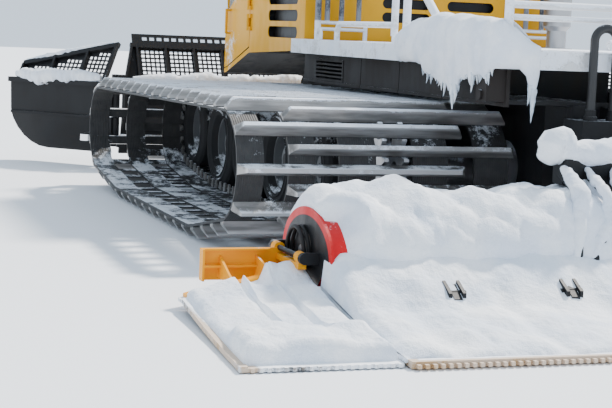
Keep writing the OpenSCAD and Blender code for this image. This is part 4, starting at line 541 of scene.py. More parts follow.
# %% [markdown]
# The icicles are clear ice with milky streaks. Real ice would need light to pass through
# it many times. A pale, smooth and half clear skin looks the same from a few metres.

# %% Ice
ice_finish = Finish("ice")
streaks = ice_finish.noise(40, 3, (1, 1, 0.15)).step(0.4, 0.65)
ice_finish.set(
    Base_Color=ice_finish.mix(streaks, rgb(0.70, 0.80, 0.90), rgb(0.93, 0.96, 0.99)),
    Roughness=0.12 + streaks * 0.3,
    Alpha=0.62 + streaks * 0.3,
)
ice_finish.bump(ice_finish.noise(55, 3, (1, 1, 0.3)), 0.004, 0.6)
ice = ice_finish.material

# %% [markdown]
# The paints. The cab is a warm yellow whose nose and lower doors are white with frost.
# Most of the running gear is black or dark grey paint that has gone dull, the tiller's
# hood is red with a black plate in its end, and the side finishers' frames are orange.
# One node can show two colours, so a mark says where the other one is: a mark is 1 there
# and 0 elsewhere, worked out from the position or the way that the surface faces. On the
# cab the other colour is painted shade, near black in its slots and under its nose.

# %% Marks on the paints
SIDE_SLOTS = {"x": (2.22, 2.87), "y": (0.895, 0.944), "z": (1.10, 1.55)}
REAR_SLOTS = {"x": (2.074, 2.126), "y": (0.05, 0.42), "z": (1.23, 1.60)}
UNDER_CAB_Z = (1.10, 1.14)
HOOD_X, HOOD_Z = -1.475, 0.222
HOOD_HALF_LENGTH, HOOD_HALF_HEIGHT = 0.310, 0.200
HOOD_RIM = (0.025, 0.024)
HOOD_END_Y = (2.1185, 2.1195)
GUARD_X = 1.95
GUARD_Z = (1.225, 1.24)
DECK_EDGE_Y = (1.045, 1.049)
RIBS_FROM_X = (0.5, 0.6)
RIB_WAVE = 180


def from_sprocket(finish):
    """x from the sprocket's axis, distance from the centre plane, and height."""
    x, y, z = finish.axes(finish.place())
    return x - sprocket_x, abs(y), z


def inside(finish, box):
    """1 inside a box of ranges along x, the distance from the centre plane, and z."""
    x, y, z = from_sprocket(finish)
    return y.between(*box["y"]) * x.between(*box["x"]) * z.between(*box["z"])


def cab_painted_shade(finish):
    """Painted shade: near black on the floors of the slots in the cab's sides and rear wall, and on the
    sloping underside of its nose.
    """
    _, _, z = from_sprocket(finish)
    under = (-finish.facing_up()).step(0.2, 0.4) * (1 - z.step(*UNDER_CAB_Z))
    return (inside(finish, SIDE_SLOTS) + inside(finish, REAR_SLOTS) + under).least(1)


def nose_frost(finish):
    """More frost low on the nose and on the lower front of the doors."""
    x, _, z = from_sprocket(finish)
    return x.step(3.1, 3.9) * (1 - z.step(1.35, 1.75)) * 0.24


def hood_end(finish):
    """The black end plate inside the red rim of the tiller's hood: an ellipse within the rim's width."""
    x, y, z = from_sprocket(finish)
    length = (x - HOOD_X) / (HOOD_HALF_LENGTH - HOOD_RIM[0])
    height = (z - HOOD_Z) / (HOOD_HALF_HEIGHT - HOOD_RIM[1])
    return y.step(*HOOD_END_Y) * (1 - (length ** 2 + height ** 2).step(0.96, 1.0))


def guard_tubes(finish):
    """The upright tubes behind the cab, which are slate grey."""
    x, _, z = from_sprocket(finish)
    return x.over(GUARD_X) * z.step(*GUARD_Z)


def step_plate_ribs(finish):
    """Fine upright ribs, 35 mm apart, on the front half of the deck's outer edge."""
    x, y, _ = from_sprocket(finish)
    ribs = (x * RIB_WAVE).wave() * 0.5
    return ribs * y.step(*DECK_EDGE_Y) * x.step(*RIBS_FROM_X)


# %% [markdown]
# Each paint is one call: its colour, the second colour that it drifts to, the amount of
# frost, its roughness, and what is special about it. The amounts were set one by one.

# %% Paints
# The cab's near-black other colour is painted shade in its slots and under its nose.
yellow = frosted(
    "yellow_paint", rgb(0.78, 0.375, 0.0), rgb(0.58, 0.27, 0.002), 0.24, 0.40, coat=0.1, top=0.18, grime=0.3,
    gloss=0.22, other=cab_painted_shade, extra_frost=nose_frost,
)
red = frosted(
    "red_paint", rgb(0.60, 0.002, 0.006), rgb(0.36, 0.010, 0.012), 0.36, 0.40, coat=0.1, top=0.15,
    gloss=0.22, other=hood_end,
)
orange = frosted(
    "orange_paint", rgb(0.88, 0.36, 0.0), rgb(0.68, 0.24, 0.006), 0.28, 0.42, top=0.20, gloss=0.22,
)
dark = frosted(
    "dark_paint", rgb(0.007, 0.007, 0.008), rgb(0.024, 0.021, 0.019), 0.25, 0.52, top=0.26, gloss=0.3,
)
panel = frosted(
    "panel_paint", rgb(0.018, 0.0145, 0.013), rgb(0.050, 0.041, 0.036), 0.28, 0.58, top=0.26, gloss=0.25,
)
grey = frosted("grey_paint", rgb(0.12, 0.125, 0.13), rgb(0.07, 0.066, 0.062), 0.40, 0.48, top=0.25, gloss=0.4)
light = frosted(
    "light_paint", rgb(0.66, 0.67, 0.68), rgb(0.46, 0.45, 0.44), 0.60, 0.45, top=0.28,
    other=guard_tubes, other_colour=rgb(0.045, 0.05, 0.065), relief=step_plate_ribs,
)
steel = frosted(
    "bare_steel", rgb(0.42, 0.42, 0.43), rgb(0.20, 0.13, 0.09), 0.40, 0.36, metal=0.9, top=0.25,
)
chrome = frosted(
    "rod_chrome", rgb(0.74, 0.75, 0.77), rgb(0.62, 0.62, 0.62), 0.30, 0.12, metal=1.0, top=0.20,
)
cast = frosted("cast_block", rgb(0.08, 0.08, 0.08), rgb(0.14, 0.11, 0.08), 0.20, 0.70, top=0.1)
plastic = frosted(
    "black_plastic", rgb(0.018, 0.018, 0.020), rgb(0.04, 0.04, 0.04), 0.18, 0.50, top=0.1, grime=0.6,
)
hose = frosted("hose_rubber", rgb(0.012, 0.012, 0.013), rgb(0.035, 0.033, 0.03), 0.24, 0.45, top=0.25)
tyre = frosted(
    "tyre_rubber", rgb(0.015, 0.015, 0.016), rgb(0.06, 0.06, 0.06), 0.34, 0.75, top=0.30, gloss=0.3,
)

# %% [markdown]
# One node holds a whole track: rubber belts with steel bars over them and horns under
# them. The two materials are told apart by the distance from the belt's outer face. On
# the ends that face is a circle, and between them it is the highest of three planes, so
# a point's distance is the larger of a few simple sums. Bars lie outside it, belts
# within the 14 mm below it, and horns deeper still.

# %% The loop of a track
RIM_R = 0.178
SPROCKET_Z, SPROCKET_LOOP_R = 0.467, 0.28648
WHEEL_Z, WHEEL_LOOP_R = 0.3803, 0.3143
FIRST_WHEEL_X, LAST_WHEEL_X = 0.625, 2.515
IDLER_Z, IDLER_LOOP_R = 0.429, 0.2863
rims_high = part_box("rims")[1]
idler_x = rims_high[0] - RIM_R - sprocket_x
circles = np.array([
    (0.0, SPROCKET_Z, SPROCKET_LOOP_R), (FIRST_WHEEL_X, WHEEL_Z, WHEEL_LOOP_R),
    (LAST_WHEEL_X, WHEEL_Z, WHEEL_LOOP_R), (idler_x, IDLER_Z, IDLER_LOOP_R),
])


def run_plane(first, second):
    """Outward direction (x, z) and distance of the line that touches two circles on its left."""
    step = second[:2] - first[:2]
    length = np.linalg.norm(step)
    heading = math.atan2(step[1], step[0]) + math.asin((first[2] - second[2]) / length)
    outward = np.array([math.sin(heading), -math.cos(heading)])
    return outward, outward @ first[:2] + first[2]


planes = [run_plane(first, second) for first, second in zip(circles, np.roll(circles, -1, axis=0))]
print("idler axis at", round(idler_x, 4), "planes", [np.round(outward, 3).tolist() for outward, _ in planes])


def beyond_belt(finish):
    """Distance outside the belts' outer face: from a circle behind and ahead, and from planes between."""
    x, _, z = finish.axes(finish.place())
    x = x - sprocket_x
    flat = None
    for outward, reach in planes:
        height = x * float(outward[0]) + z * float(outward[1]) - float(reach)
        flat = height if flat is None else flat.most(height)
    rear = (x * x + (z - SPROCKET_Z) ** 2) ** 0.5 - SPROCKET_LOOP_R
    front = ((x - idler_x) ** 2 + (z - IDLER_Z) ** 2) ** 0.5 - IDLER_LOOP_R
    behind = x.under(0.0)
    ahead = x.over(idler_x)
    return flat * (1 - behind) * (1 - ahead) + rear * behind + front * ahead


# %% [markdown]
# The bars are light metal with scoured patches. Their crests are painted lighter and take
# more frost, most on the top run: partly wear and frost, partly a painted highlight. The
# belts are black rubber with lengthwise grooves, dusted with snow that the bars hold.

# %% Track finish
OUTSIDE_BELT = (0.003, 0.006)
INSIDE_BELT = (0.016, 0.019)
BAR_CREST = (0.045, 0.066)
TOP_RUN_Z = (0.62, 0.76)
GROOVE_WAVE = 520

track = Finish("track_belt")
beyond = beyond_belt(track)
is_bar = (beyond.step(*OUTSIDE_BELT) + (-beyond).step(*INSIDE_BELT)).least(1)
# The crest is painted lighter than the rest of the bar: partly scoured wear, partly a painted highlight.
crest = beyond.step(*BAR_CREST)
_, track_y, track_z = track.axes(track.place())
on_top_run = track_z.step(*TOP_RUN_Z)
# Extra frost on the crests, most on the top run, is partly real frost and partly a painted highlight.
track_frost = frost_mask(track, 0.33, 0.24, 6.0, crest * (0.12 + on_top_run * 0.14))
scour = track.noise(30, 3, (1, 0.15, 1))
bar_colour = track.mix(scour.step(0.35, 0.7), rgb(0.22, 0.21, 0.20), rgb(0.40, 0.385, 0.37))
belt_colour = track.mix(track.noise(22, 3), rgb(0.012, 0.012, 0.013), rgb(0.045, 0.043, 0.041))
bare = track.mix(is_bar, belt_colour, track.mix(crest, bar_colour, rgb(0.62, 0.61, 0.60)))
grooves = (track_y * GROOVE_WAVE).wave() * (1 - is_bar)
track.set(
    Base_Color=track.mix(track_frost, bare, track.mix(track.noise(12, 2), SNOW_SHADE, SNOW_BRIGHT)),
    Roughness=(is_bar * -0.22 + 0.62 + scour * 0.1) * (1 - track_frost) + track_frost * 0.8,
    Metallic=is_bar * (1 - track_frost) * 0.75,
)
track.bump(track_frost * (0.5 + track.noise(70, 3)) + grooves * 0.12 + scour * 0.1, 0.005, 0.9)

# %% [markdown]
# The mats are thick rubber with worn tan edges and a tan comb. Snow lies on top of them
# as pieces of its own, so this finish only has to be right where the edges show.

# %% Mats
COMB_X = -2.65
MAT_HALF = 2.12
SIDE_MAT_HALF = 2.70


def mat_finish(name, half):
    """Rubber whose outer edge, at half from the centre plane, and whose comb are worn to tan."""
    finish = Finish(name)
    x, y, _ = from_sprocket(finish)
    to_edge = abs(y - half).least(abs(x - COMB_X))
    worn = 1 - (to_edge + finish.noise(30, 3) * 0.02).step(0.035, 0.055)
    frost = frost_mask(finish, 0.62, 0.22, 5.0) * (1 - worn * 0.75)
    rubber = finish.mix(finish.noise(40, 3), rgb(0.05, 0.05, 0.052), rgb(0.13, 0.13, 0.13))
    tan = finish.mix(finish.noise(60, 3), rgb(0.42, 0.25, 0.12), rgb(0.62, 0.42, 0.22))
    finish.set(
        Base_Color=finish.mix(frost, finish.mix(worn, rubber, tan), SNOW_BRIGHT),
        Roughness=0.72 + frost * 0.1,
    )
    finish.bump(frost + finish.noise(90, 3) * 0.3, 0.003, 0.8)
    return finish


mat = mat_finish("mat_rubber", MAT_HALF)
side_mat = mat_finish("side_mat_rubber", SIDE_MAT_HALF)

# %% [markdown]
# The panes are grey glass, half clear, with frost in patches and smears of old water.
# Glass that bends light would cost much time and show little more, so its Alpha is
# lowered instead. The lamps' housings are black, and the beacon's cap is ribbed orange.

# %% Glass and lamps
BEACON_ENDS_X = (2.60, 2.61)
BEACON_Z = (2.808, 2.812)
RIDGE_WAVE = 700

glass = Finish("cab_pane")
pane_frost = frost_mask(glass, 0.36, 0.1, 3.0)
smear = glass.noise(7, 4).step(0.35, 0.75)
glass.set(
    Base_Color=glass.mix(pane_frost, rgb(0.30, 0.36, 0.37), SNOW_BRIGHT),
    Roughness=0.04 + smear * 0.12 + pane_frost * 0.6,
    Alpha=0.34 + smear * 0.10 + pane_frost * 0.5,
)

lamp = Finish("lamp_plastic")
lamp_x, _, lamp_z = from_sprocket(lamp)
is_beacon = (1 - lamp_x.step(*BEACON_ENDS_X)) * lamp_z.step(*BEACON_Z)
ridges = (lamp_z * RIDGE_WAVE).wave() * 0.5 + 0.5
housing = lamp.mix(lamp.noise(30), rgb(0.03, 0.03, 0.03), rgb(0.07, 0.07, 0.07))
lamp.set(
    Base_Color=lamp.mix(is_beacon, housing, rgb(0.85, 0.28, 0.01)),
    Roughness=0.32 + lamp.noise(50) * 0.2,
)
lamp.bump(ridges * is_beacon + lamp.noise(80) * 0.1, 0.002, 0.7)

# %% [markdown]
# The seats are covered with a dark woven cloth. Two waves at right angles, multiplied,
# look like threads that pass over and under each other, 4.5 mm apart.

# %% Seat fabric
THREAD_WAVE = 1400

fabric = Finish("seat_fabric")
weave_x, weave_y, weave_z = fabric.axes(fabric.place())
weave = (weave_y * THREAD_WAVE).wave() * ((weave_z + weave_x) * THREAD_WAVE).wave()
fabric.set(
    Base_Color=fabric.mix(weave.step(-0.6, 0.6), rgb(0.030, 0.032, 0.038), rgb(0.085, 0.09, 0.10)),
    Roughness=0.88,
    Sheen_Weight=0.3,
)
fabric.bump(weave + fabric.noise(60), 0.0012, 0.7)

# %% [markdown]
# Each node of the frame now takes its finish. The shapes stay as they are: only the
# material slots of the objects change.

# %% Dress the nodes
node_finish = {
    yellow: "cab_shell cab_roof door_left door_right",
    red: "tiller_cover",
    orange: "finisher_left finisher_right",
    dark: "tub axles push_frame blade_yoke blade blade_screen wing_left wing_right wing_mesh_left"
          " wing_mesh_right carrier swing_head tiller_frame",
    panel: "side_panels",
    grey: "blade_lift_barrels angle_barrel_left angle_barrel_right wing_barrel_left wing_barrel_right"
          " tiller_lift_barrels rims",
    light: "deck deck_rails",
    chrome: "blade_lift_rods angle_rod_left angle_rod_right wing_rod_left wing_rod_right tiller_lift_rods",
    steel: "sprockets rotor_left rotor_right exhaust",
    cast: "engine",
    tyre: "tyres",
    track: "track_left track_right",
    mat: "mats",
    side_mat: "finisher_mats_left finisher_mats_right",
    hose: "hoses",
    plastic: "console mirrors",
    fabric: "seats",
    lamp: "lamps",
    glass: "cab_glass door_glass_left door_glass_right",
}
dressed = 0
for finish, names in node_finish.items():
    for name in names.split():
        node = nodes[name]
        if not node.material_slots:
            node.data.materials.append(finish.material)
        for material_slot in node.material_slots:
            material_slot.material = finish.material
        dressed += 1
print("dressed", dressed, "of", len(nodes), "nodes")

# %% [markdown]
# The seats show through the rear window. Their solids in the frame are plain, so padded
# pieces stand for them. A pad is a rounded outline carried along its length: its face is
# crowned, its sides pull in between the corners, and each sewn channel is a dent across
# the face. Two more seams run lengthwise and part the bolsters from the middle. A pleated
# rubber skirt hides each seat's spring.

# %% Forms of the seats
CHANNEL_HALF_WIDTH, CHANNEL_DEPTH = 0.007, 0.011
BOLSTER_AT, BOLSTER_DEPTH = 0.68, 0.009
SIDES_PULLED_IN = 0.035
PIPING_AT, PIPING_DEPTH = 0.72, 0.004
SKIRT_HALF = (0.138, 0.158)
PLEATS, PLEAT_DEPTH = 6, 0.075


def powered(values, power):
    """The size of each value to a power, with the value's sign kept."""
    return np.sign(values) * np.abs(values) ** power


def pad(centre, along, up, half, seams, bolsters, rows, columns):
    """Closed cushion: a square outline with round corners, times a crown, minus dents at the seams.

    half is half its length, width and thickness. The seams are given as shares of half
    the length, and bolsters is 1 where two seams run along the pad, and else 0.
    """
    half_length, half_width, half_thick = half
    share = np.sin(np.linspace(-0.5, 0.5, rows) * np.pi)[:, None]
    wide, tall = powered(circle(columns), 0.5).T[:, None]
    plan = (1 - np.abs(share) ** 7) ** (1 / 3.5) * (1 - SIDES_PULLED_IN * np.cos(share * np.pi / 2))
    bow = (1 - np.abs(share) ** 5) ** (1 / 2.5)
    face = ramp(tall)
    crown = 1 - 0.24 * wide ** 2 - 0.10 * share ** 2
    dent = np.zeros_like(share)
    for seam in seams:
        dent = dent + np.exp(-((share - seam) * half_length / CHANNEL_HALF_WIDTH) ** 2)
    along_seams = np.exp(-((np.abs(wide) - BOLSTER_AT) / 0.035) ** 2) * bolsters
    swell = np.abs(np.sin((share + 1) * np.pi * (len(seams) + 1) / 2)) * 0.05
    thick = half_thick * tall * (crown + swell * face) * bow
    thick = thick - face * (CHANNEL_DEPTH * dent + BOLSTER_DEPTH * along_seams) * bow
    piping = PIPING_DEPTH * np.exp(-((np.abs(tall) - PIPING_AT) / 0.08) ** 2)
    width = half_width * wide * plan * (1 - piping / half_width)
    outline = np.stack((width, thick), axis=-1)
    path = np.array(centre) + share * half_length * along
    return sweep(path, np.cross(up, along), up, outline)


def skirt(x, y, z0, z1, rows=70, columns=64):
    """A square tube with round corners, whose width dips once for each pleat."""
    share = np.linspace(0, 1, rows)[:, None]
    pleat = 1 - PLEAT_DEPTH * (0.5 - 0.5 * np.cos(share * 2 * np.pi * PLEATS))
    outline = powered(circle(columns), 0.4) * SKIRT_HALF * pleat[..., None]
    path = np.array([x, y, z0]) + share * (z1 - z0) * UPWARD
    return sweep(path, FORWARD, LEFTWARD, outline)


# %% [markdown]
# The table below gives each pad of one seat, counted from the seat's corner on the cab's
# floor. The backrest and the headrest lean back by ten degrees. An armrest is narrow, so
# it takes fewer points.

# %% Padded seats
SEAT_X, CAB_FLOOR_Z = 2.620, 1.085
SEAT_SIDES = (("right", -0.520), ("left", 0.060))
LEVEL = (FORWARD, UPWARD)
LEANING = (np.array([-0.1736, 0, 0.9848]), np.array([0.9848, 0, 0.1736]))
WIDE_GRID, NARROW_GRID = (96, 96), (60, 40)
ARMREST_HALF = (0.212, 0.016, 0.028)
CUSHION_HALF = (0.256, 0.206, 0.058)
BACKREST_HALF = (0.316, 0.216, 0.058)
HEADREST_HALF = (0.092, 0.117, 0.043)
# Columns: name, centre, direction and face, half sizes, seams, bolsters, rows and columns, fill
PADS = (
    ("cushion", (0.260, 0.230, 0.270), LEVEL, CUSHION_HALF, (-0.35, 0.3), 1, WIDE_GRID, 0.7),
    ("backrest", (-0.0647, 0.230, 0.5747), LEANING, BACKREST_HALF, (-0.5, -0.1, 0.3), 1, WIDE_GRID, 0.7),
    ("headrest", (-0.1458, 0.230, 0.9658), LEANING, HEADREST_HALF, (0.0,), 0, WIDE_GRID, 0.7),
    ("armrest_outer", (0.175, 0.005, 0.500), LEVEL, ARMREST_HALF, (), 0, NARROW_GRID, 0.85),
    ("armrest_inner", (0.175, 0.455, 0.500), LEVEL, ARMREST_HALF, (), 0, NARROW_GRID, 0.85),
)
for seat_side, seat_y in SEAT_SIDES:
    corner = (SEAT_X, seat_y, CAB_FLOOR_Z)
    for pad_name, centre, (along, up_way), half, seams, bolsters, grid, fill in PADS:
        form = moved(pad(centre, along, up_way, half, seams, bolsters, *grid), corner)
        piece = make_piece(f"seat_{pad_name}_{seat_side}", form, "chassis", fabric.material)
        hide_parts("seats")
    form = moved(skirt(0.250, 0.230, 0.001, 0.226), corner)
    piece = make_piece(f"seat_skirt_{seat_side}", form, "chassis", plastic.material)
    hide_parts("seats")

# %% [markdown]
# Snow on the tiller is the biggest light shape of the photograph. It lies on the hood
# like a quilt: thick on top, with round lumps as wide as a hand, and thin where the
# hood's red end looks out. The quilt's outline at each y follows the bow of the hood,
# then comes back a little under the hood's skin.

# %% Snow on the tiller's hood
BOW_FROM, BOW_TO, BOW_POINTS = 8, 186, 56
QUILT_ROUND = 0.07
BARE_END = 0.16
BARE_FROM_ANGLE = 1.9


def quilt(y0, y1, seed, rows, thick):
    """Rings at each y: the hood's ellipse plus domes and lumps, and back along the ellipse 12 mm inside."""
    angle = np.radians(np.linspace(BOW_FROM, BOW_TO, BOW_POINTS))
    y = np.linspace(y0, y1, rows)
    edge = quarter_round(within(y, y0, y1, QUILT_ROUND))[:, None]
    bow_x = HOOD_X + HOOD_HALF_LENGTH * np.cos(angle)
    bow_z = HOOD_Z + HOOD_HALF_HEIGHT * np.sin(angle)
    where = np.stack(np.broadcast_arrays(bow_x[None], y[:, None], bow_z[None]), axis=-1)
    body = np.sin(np.linspace(0, np.pi, BOW_POINTS)) ** 0.55
    tall = thick * (0.10 + 0.75 * domes(where, 0.21, seed) ** 1.5 + 0.35 * lumps(where, 0.12, seed))
    tall = (tall + 0.04 * hills(where, 0.6, seed + 9)) * body * edge - 0.006 * (1 - edge)
    bare = ramp((y - y1 + BARE_END) / 0.10)[:, None] * ramp((angle - BARE_FROM_ANGLE) / 0.25)
    tall = tall * (1 - bare) - 0.008 * bare
    away = np.concatenate((tall, np.full_like(tall, -0.012)), axis=1)
    turned = np.concatenate((angle, angle[::-1]))
    x = HOOD_X + (HOOD_HALF_LENGTH + away) * np.cos(turned)
    z = HOOD_Z + (HOOD_HALF_HEIGHT + away) * np.sin(turned)
    return from_side_to_side(y, x, z)


make_piece("snow_on_cover", quilt(-2.112, 2.118, 11, 340, 0.115), "tiller", snow)

# %% [markdown]
# Behind the hood the snow thins out over the mats, with a soft step at each batten, and
# ends ragged just before the comb. At the mats' outer edges it falls over them onto the
# side mats. Both faces that it lies on are given by a formula first: the middle mats by
# straight lines between bends, and a side mat as a sheet that flattens to the rear.

# %% Faces of the mats
MAT_X = np.array([-2.64, -2.38, -2.09, -1.858, -1.80])
MAT_Z = np.array([0.022, 0.040, 0.080, 0.196, 0.212])
SIDE_BEND_X, SIDE_TAIL_X = -1.50, -2.60
SIDE_BEND_AT, SIDE_FRONT_SLOPE = 0.1, 0.6
SIDE_INNER_Y, SIDE_WIDTH, SIDE_SPREAD = 2.134, 0.52, 0.08
SIDE_LOW, SIDE_RISE, OUTER_FALL = 0.004, 0.150, 0.116
SIDE_SHEET = 0.014


def mat_height(x):
    """Height of the mats' upper face, by straight lines between its bends."""
    return np.interp(x, MAT_X, MAT_Z)


def side_mat_place(out, back, lift):
    """A point over the left side mat, at shares of the way out to its outer edge and back to its rear."""
    behind = ramp((back - SIDE_BEND_AT) / (1 - SIDE_BEND_AT))
    ahead = np.clip(SIDE_BEND_AT - back, 0, SIDE_BEND_AT)
    x = SIDE_BEND_X + (SIDE_TAIL_X - SIDE_BEND_X) * behind + SIDE_FRONT_SLOPE * ahead
    y = SIDE_INNER_Y + (SIDE_WIDTH + SIDE_SPREAD * behind) * out
    z = SIDE_LOW + (SIDE_RISE - OUTER_FALL * out) * (1 - behind) ** 2 + lift
    return np.stack(np.broadcast_arrays(x, y, z), axis=-1)


def side_mat_height(x):
    """Height of the left side mat's upper face along its inner edge."""
    behind = ramp((SIDE_BEND_X - x) / (SIDE_BEND_X - SIDE_TAIL_X))
    return SIDE_LOW + SIDE_SHEET + SIDE_RISE * (1 - behind) ** 2


# %% Snow on the mats
SNOW_TAIL_X, SNOW_FRONT_X = -2.612, -1.70
MAT_BATTEN_STEP = 0.424
FALL_WIDTH = 0.0085


def mat_snow(y0, y1, rows, seed):
    """Rings at each y: the mat's face plus snow that thins to the rear, and back just under the face."""
    y = np.linspace(y0, y1, rows)
    share = np.linspace(0, 1, 46)
    ragged = 0.03 * hills(np.stack((y, y * 0, y * 0), axis=-1), 0.12, seed + 3)
    tail = (SNOW_TAIL_X + ragged)[:, None]
    x = tail + (SNOW_FRONT_X - tail) * share
    where = np.stack((x, np.broadcast_to(y[:, None], x.shape), np.zeros_like(x)), axis=-1)
    drift = 0.012 + 0.030 * lumps(where, 0.20, seed) + 0.020 * domes(where, 0.17, seed + 5) ** 2
    drift = drift + 0.080 * ramp(share - 0.55)
    bare_strips = 0.5 + 0.5 * np.cos((y / MAT_BATTEN_STEP - 0.5) * 2 * np.pi)
    drift = drift * (1 - 0.55 * bare_strips[:, None] ** 6 * (share < 0.7))
    fade = ramp(share / 0.08) ** 0.5 * within(y, y0, y1, 0.05)[:, None] ** 0.5
    fallen = (1 - within(y, y0, y1, FALL_WIDTH))[:, None]
    below = side_mat_height(x)
    face = mat_height(x) * (1 - fallen) + (below + 0.016) * fallen
    top = face + 0.002 + drift * fade
    under = np.minimum(face - 0.004, below * fallen + (mat_height(x) - 0.004) * (1 - fallen))
    both_ways = np.concatenate((x, x[:, ::-1]), axis=1)
    return from_side_to_side(y, both_ways, np.concatenate((top, under[:, ::-1]), axis=1))


make_piece("snow_on_mats", mat_snow(-2.130, 2.130, 420, 31), "tiller", snow)

# %% [markdown]
# Each side mat carries a sheet of snow with thick round edges. It leaves the battens and
# the worn outer edge bare, heaps up over the rear third, and rides on its finisher.

# %% Snow on the side mats
SNOW_OUT = (0.012, 0.962)
SNOW_BACK = (0.07, 0.968)
SIDE_MAT_WIDE, SIDE_MAT_LONG = 0.56, 1.16
SIDE_BATTENS = ((0.25, 0.32), (0.51, 0.58))
SIDE_ROUND = 0.045


def side_mat_snow(rows, columns, seed):
    """Rings across the left mat: the snow's top from front to rear, and back just under the mat's face."""
    out = np.linspace(*SNOW_OUT, rows)[:, None]
    back = np.linspace(*SNOW_BACK, columns)[None]
    base = side_mat_place(out, back, 0.013)
    across_edge = within(out, *SNOW_OUT, SIDE_ROUND / SIDE_MAT_WIDE)
    edge = quarter_round(np.minimum(across_edge, within(back, *SNOW_BACK, SIDE_ROUND / SIDE_MAT_LONG)))
    ragged = 0.10 * (hills(base, 0.16, seed + 1) - 0.5)
    heap = ramp((back + ragged - 0.62) / 0.10)
    deep = 0.020 + 0.022 * domes(base, 0.20, seed) ** 1.3 + 0.010 * lumps(base, 0.09, seed + 2)
    deep = deep + heap * (0.020 + 0.030 * domes(base, 0.15, seed + 3))
    at_hinge = ramp((0.42 - out) / 0.12) * ramp((0.20 - back) / 0.06)
    deep = deep + at_hinge * (0.022 + 0.03 * out / 0.42) * domes(base, 0.10, seed + 4)
    for low, high in SIDE_BATTENS:
        bare = within(out, low, high, 0.012) * (1 - heap) * (1 - at_hinge)
        deep = deep * (1 - bare) + 0.002 * bare
    thin = within(out, 0.33, 0.50, 0.05) * ramp((0.24 + ragged - back) / 0.05)
    deep = deep * (1 - 0.85 * thin)
    top = base + (deep * edge)[..., None] * UPWARD
    under = base - 0.004 * UPWARD
    return closed_skin(np.concatenate((top, under[:, ::-1]), axis=1))


left_snow = side_mat_snow(170, 130, 141)
make_piece("snow_on_finisher_left", left_snow, "finisher_left", snow)
make_piece("snow_on_finisher_right", mirrored(left_snow), "finisher_right", snow)

# %% [markdown]
# The tiller's frame carries snow on its beam, and a crust all round its bent arms, its
# struts and the lugs at the beam's ends. Each is a crust round a path, thicker on top.

# %% Snow on the tiller's frame
BEAM_X, BEAM_Z, BEAM_HALF = -1.459, 0.635, 0.99
ARM_Y = 0.95
# Columns: the bent arm's distance from ARM_Y at its inner and outer end, and its radius
ARMS = ((0, 0.090, 0.024), (-0.250, 0.020, 0.024), (-0.110, -0.060, 0.013))
STRUT_Y = (0.845, 0.445)

beam = [(BEAM_X, -BEAM_HALF, BEAM_Z), (BEAM_X, BEAM_HALF, BEAM_Z)]
crusts = [crust(beam, 0.062, 0.075, 0.030, 51, 150, 22, 0.16)]
for side in (-1, 1):
    for inner, outer, radius in ARMS:
        bend_y = ARM_Y + inner + (outer - inner) * 0.3
        corners = [
            (-1.50, side * (ARM_Y + inner), 0.600), (-1.720, side * bend_y, 0.508),
            (-1.822, side * (ARM_Y + outer), 0.250),
        ]
        seed = 60 + int(100 * (inner + 0.3)) + side
        crusts.append(crust(corners, radius, 0.020, 0.007, seed, 70, 14, 0.05))
    lug = [(BEAM_X, side * 0.90, 0.66), (BEAM_X, side * 0.965, 0.705), (BEAM_X, side * 1.01, 0.62)]
    crusts.append(crust(lug, 0.045, 0.045, 0.012, 71 + side, 40, 18, 0.07))
    for y in STRUT_Y:
        strut = [(-1.47, side * y, 0.56), (-1.51, side * y, 0.41)]
        crusts.append(crust(strut, 0.042, 0.03, 0.0, 77, 30, 14, 0.07))
make_piece("snow_on_tiller_frame", joined(crusts), "tiller", snow)

# %% [markdown]
# Snow that the blade threw up lies behind its mesh, on the ledges of the blade and of
# both wings, and along the wings' sloping top beams. Each bank rides on its own body.

# %% Snow on the blade and the wings
BANK = (0.018, 0.085, 0.022)
LEDGE_Z = 0.700

blade_bank = crust([(4.685, -1.50, LEDGE_Z), (4.685, 1.50, LEDGE_Z)], *BANK, 201, 260, 22, 0.15)
make_piece("snow_on_blade", blade_bank, "blade", snow)
wing_banks = joined([
    crust([(4.783, 1.743, LEDGE_Z), (5.372, 2.332, LEDGE_Z)], *BANK, 211, 110, 22, 0.13),
    crust([(4.940, 1.606, 0.997), (5.420, 2.244, 0.818)], 0.010, 0.024, 0.010, 215, 110, 16, 0.08),
])
make_piece("snow_on_wing_left", wing_banks, "wing_left", snow)
make_piece("snow_on_wing_right", mirrored(wing_banks), "wing_right", snow)

# %% [markdown]
# A thick slab hangs over the deck's rear left corner, pulled down by its own weight, with
# icicles along its lower edge. Its path runs along the deck's edge and round the corner.
# Its outline goes from the deck's top over the edge and down the side, and back behind.
# Two tables give how far it hangs down and how tall it stands at each distance along the
# path, and a third gives the outline's stations, which a smooth curve joins.

# %% Form of the slab
# Columns: distance along the path, and how far the slab hangs down there
SLAB_HANGS = np.array([
    (0.00, 0.03), (0.05, 0.09), (0.18, 0.09), (0.38, 0.10), (0.41, 0.14), (0.52, 0.16), (0.66, 0.19),
    (0.74, 0.22), (0.78, 0.25), (0.82, 0.22), (0.86, 0.16), (0.93, 0.14), (0.98, 0.18), (1.02, 0.13),
    (1.08, 0.12), (1.13, 0.15), (1.18, 0.11), (1.23, 0.09), (1.32, 0.09), (1.36, 0.12), (1.40, 0.24),
    (1.43, 0.12),
])
# Columns: distance along the path, and the slab's height over the deck there
SLAB_STANDS = np.array([
    (0.00, 0.05), (0.15, 0.11), (0.50, 0.165), (0.75, 0.16),
    (1.10, 0.13), (1.25, 0.12), (1.35, 0.06), (1.43, 0.02),
])
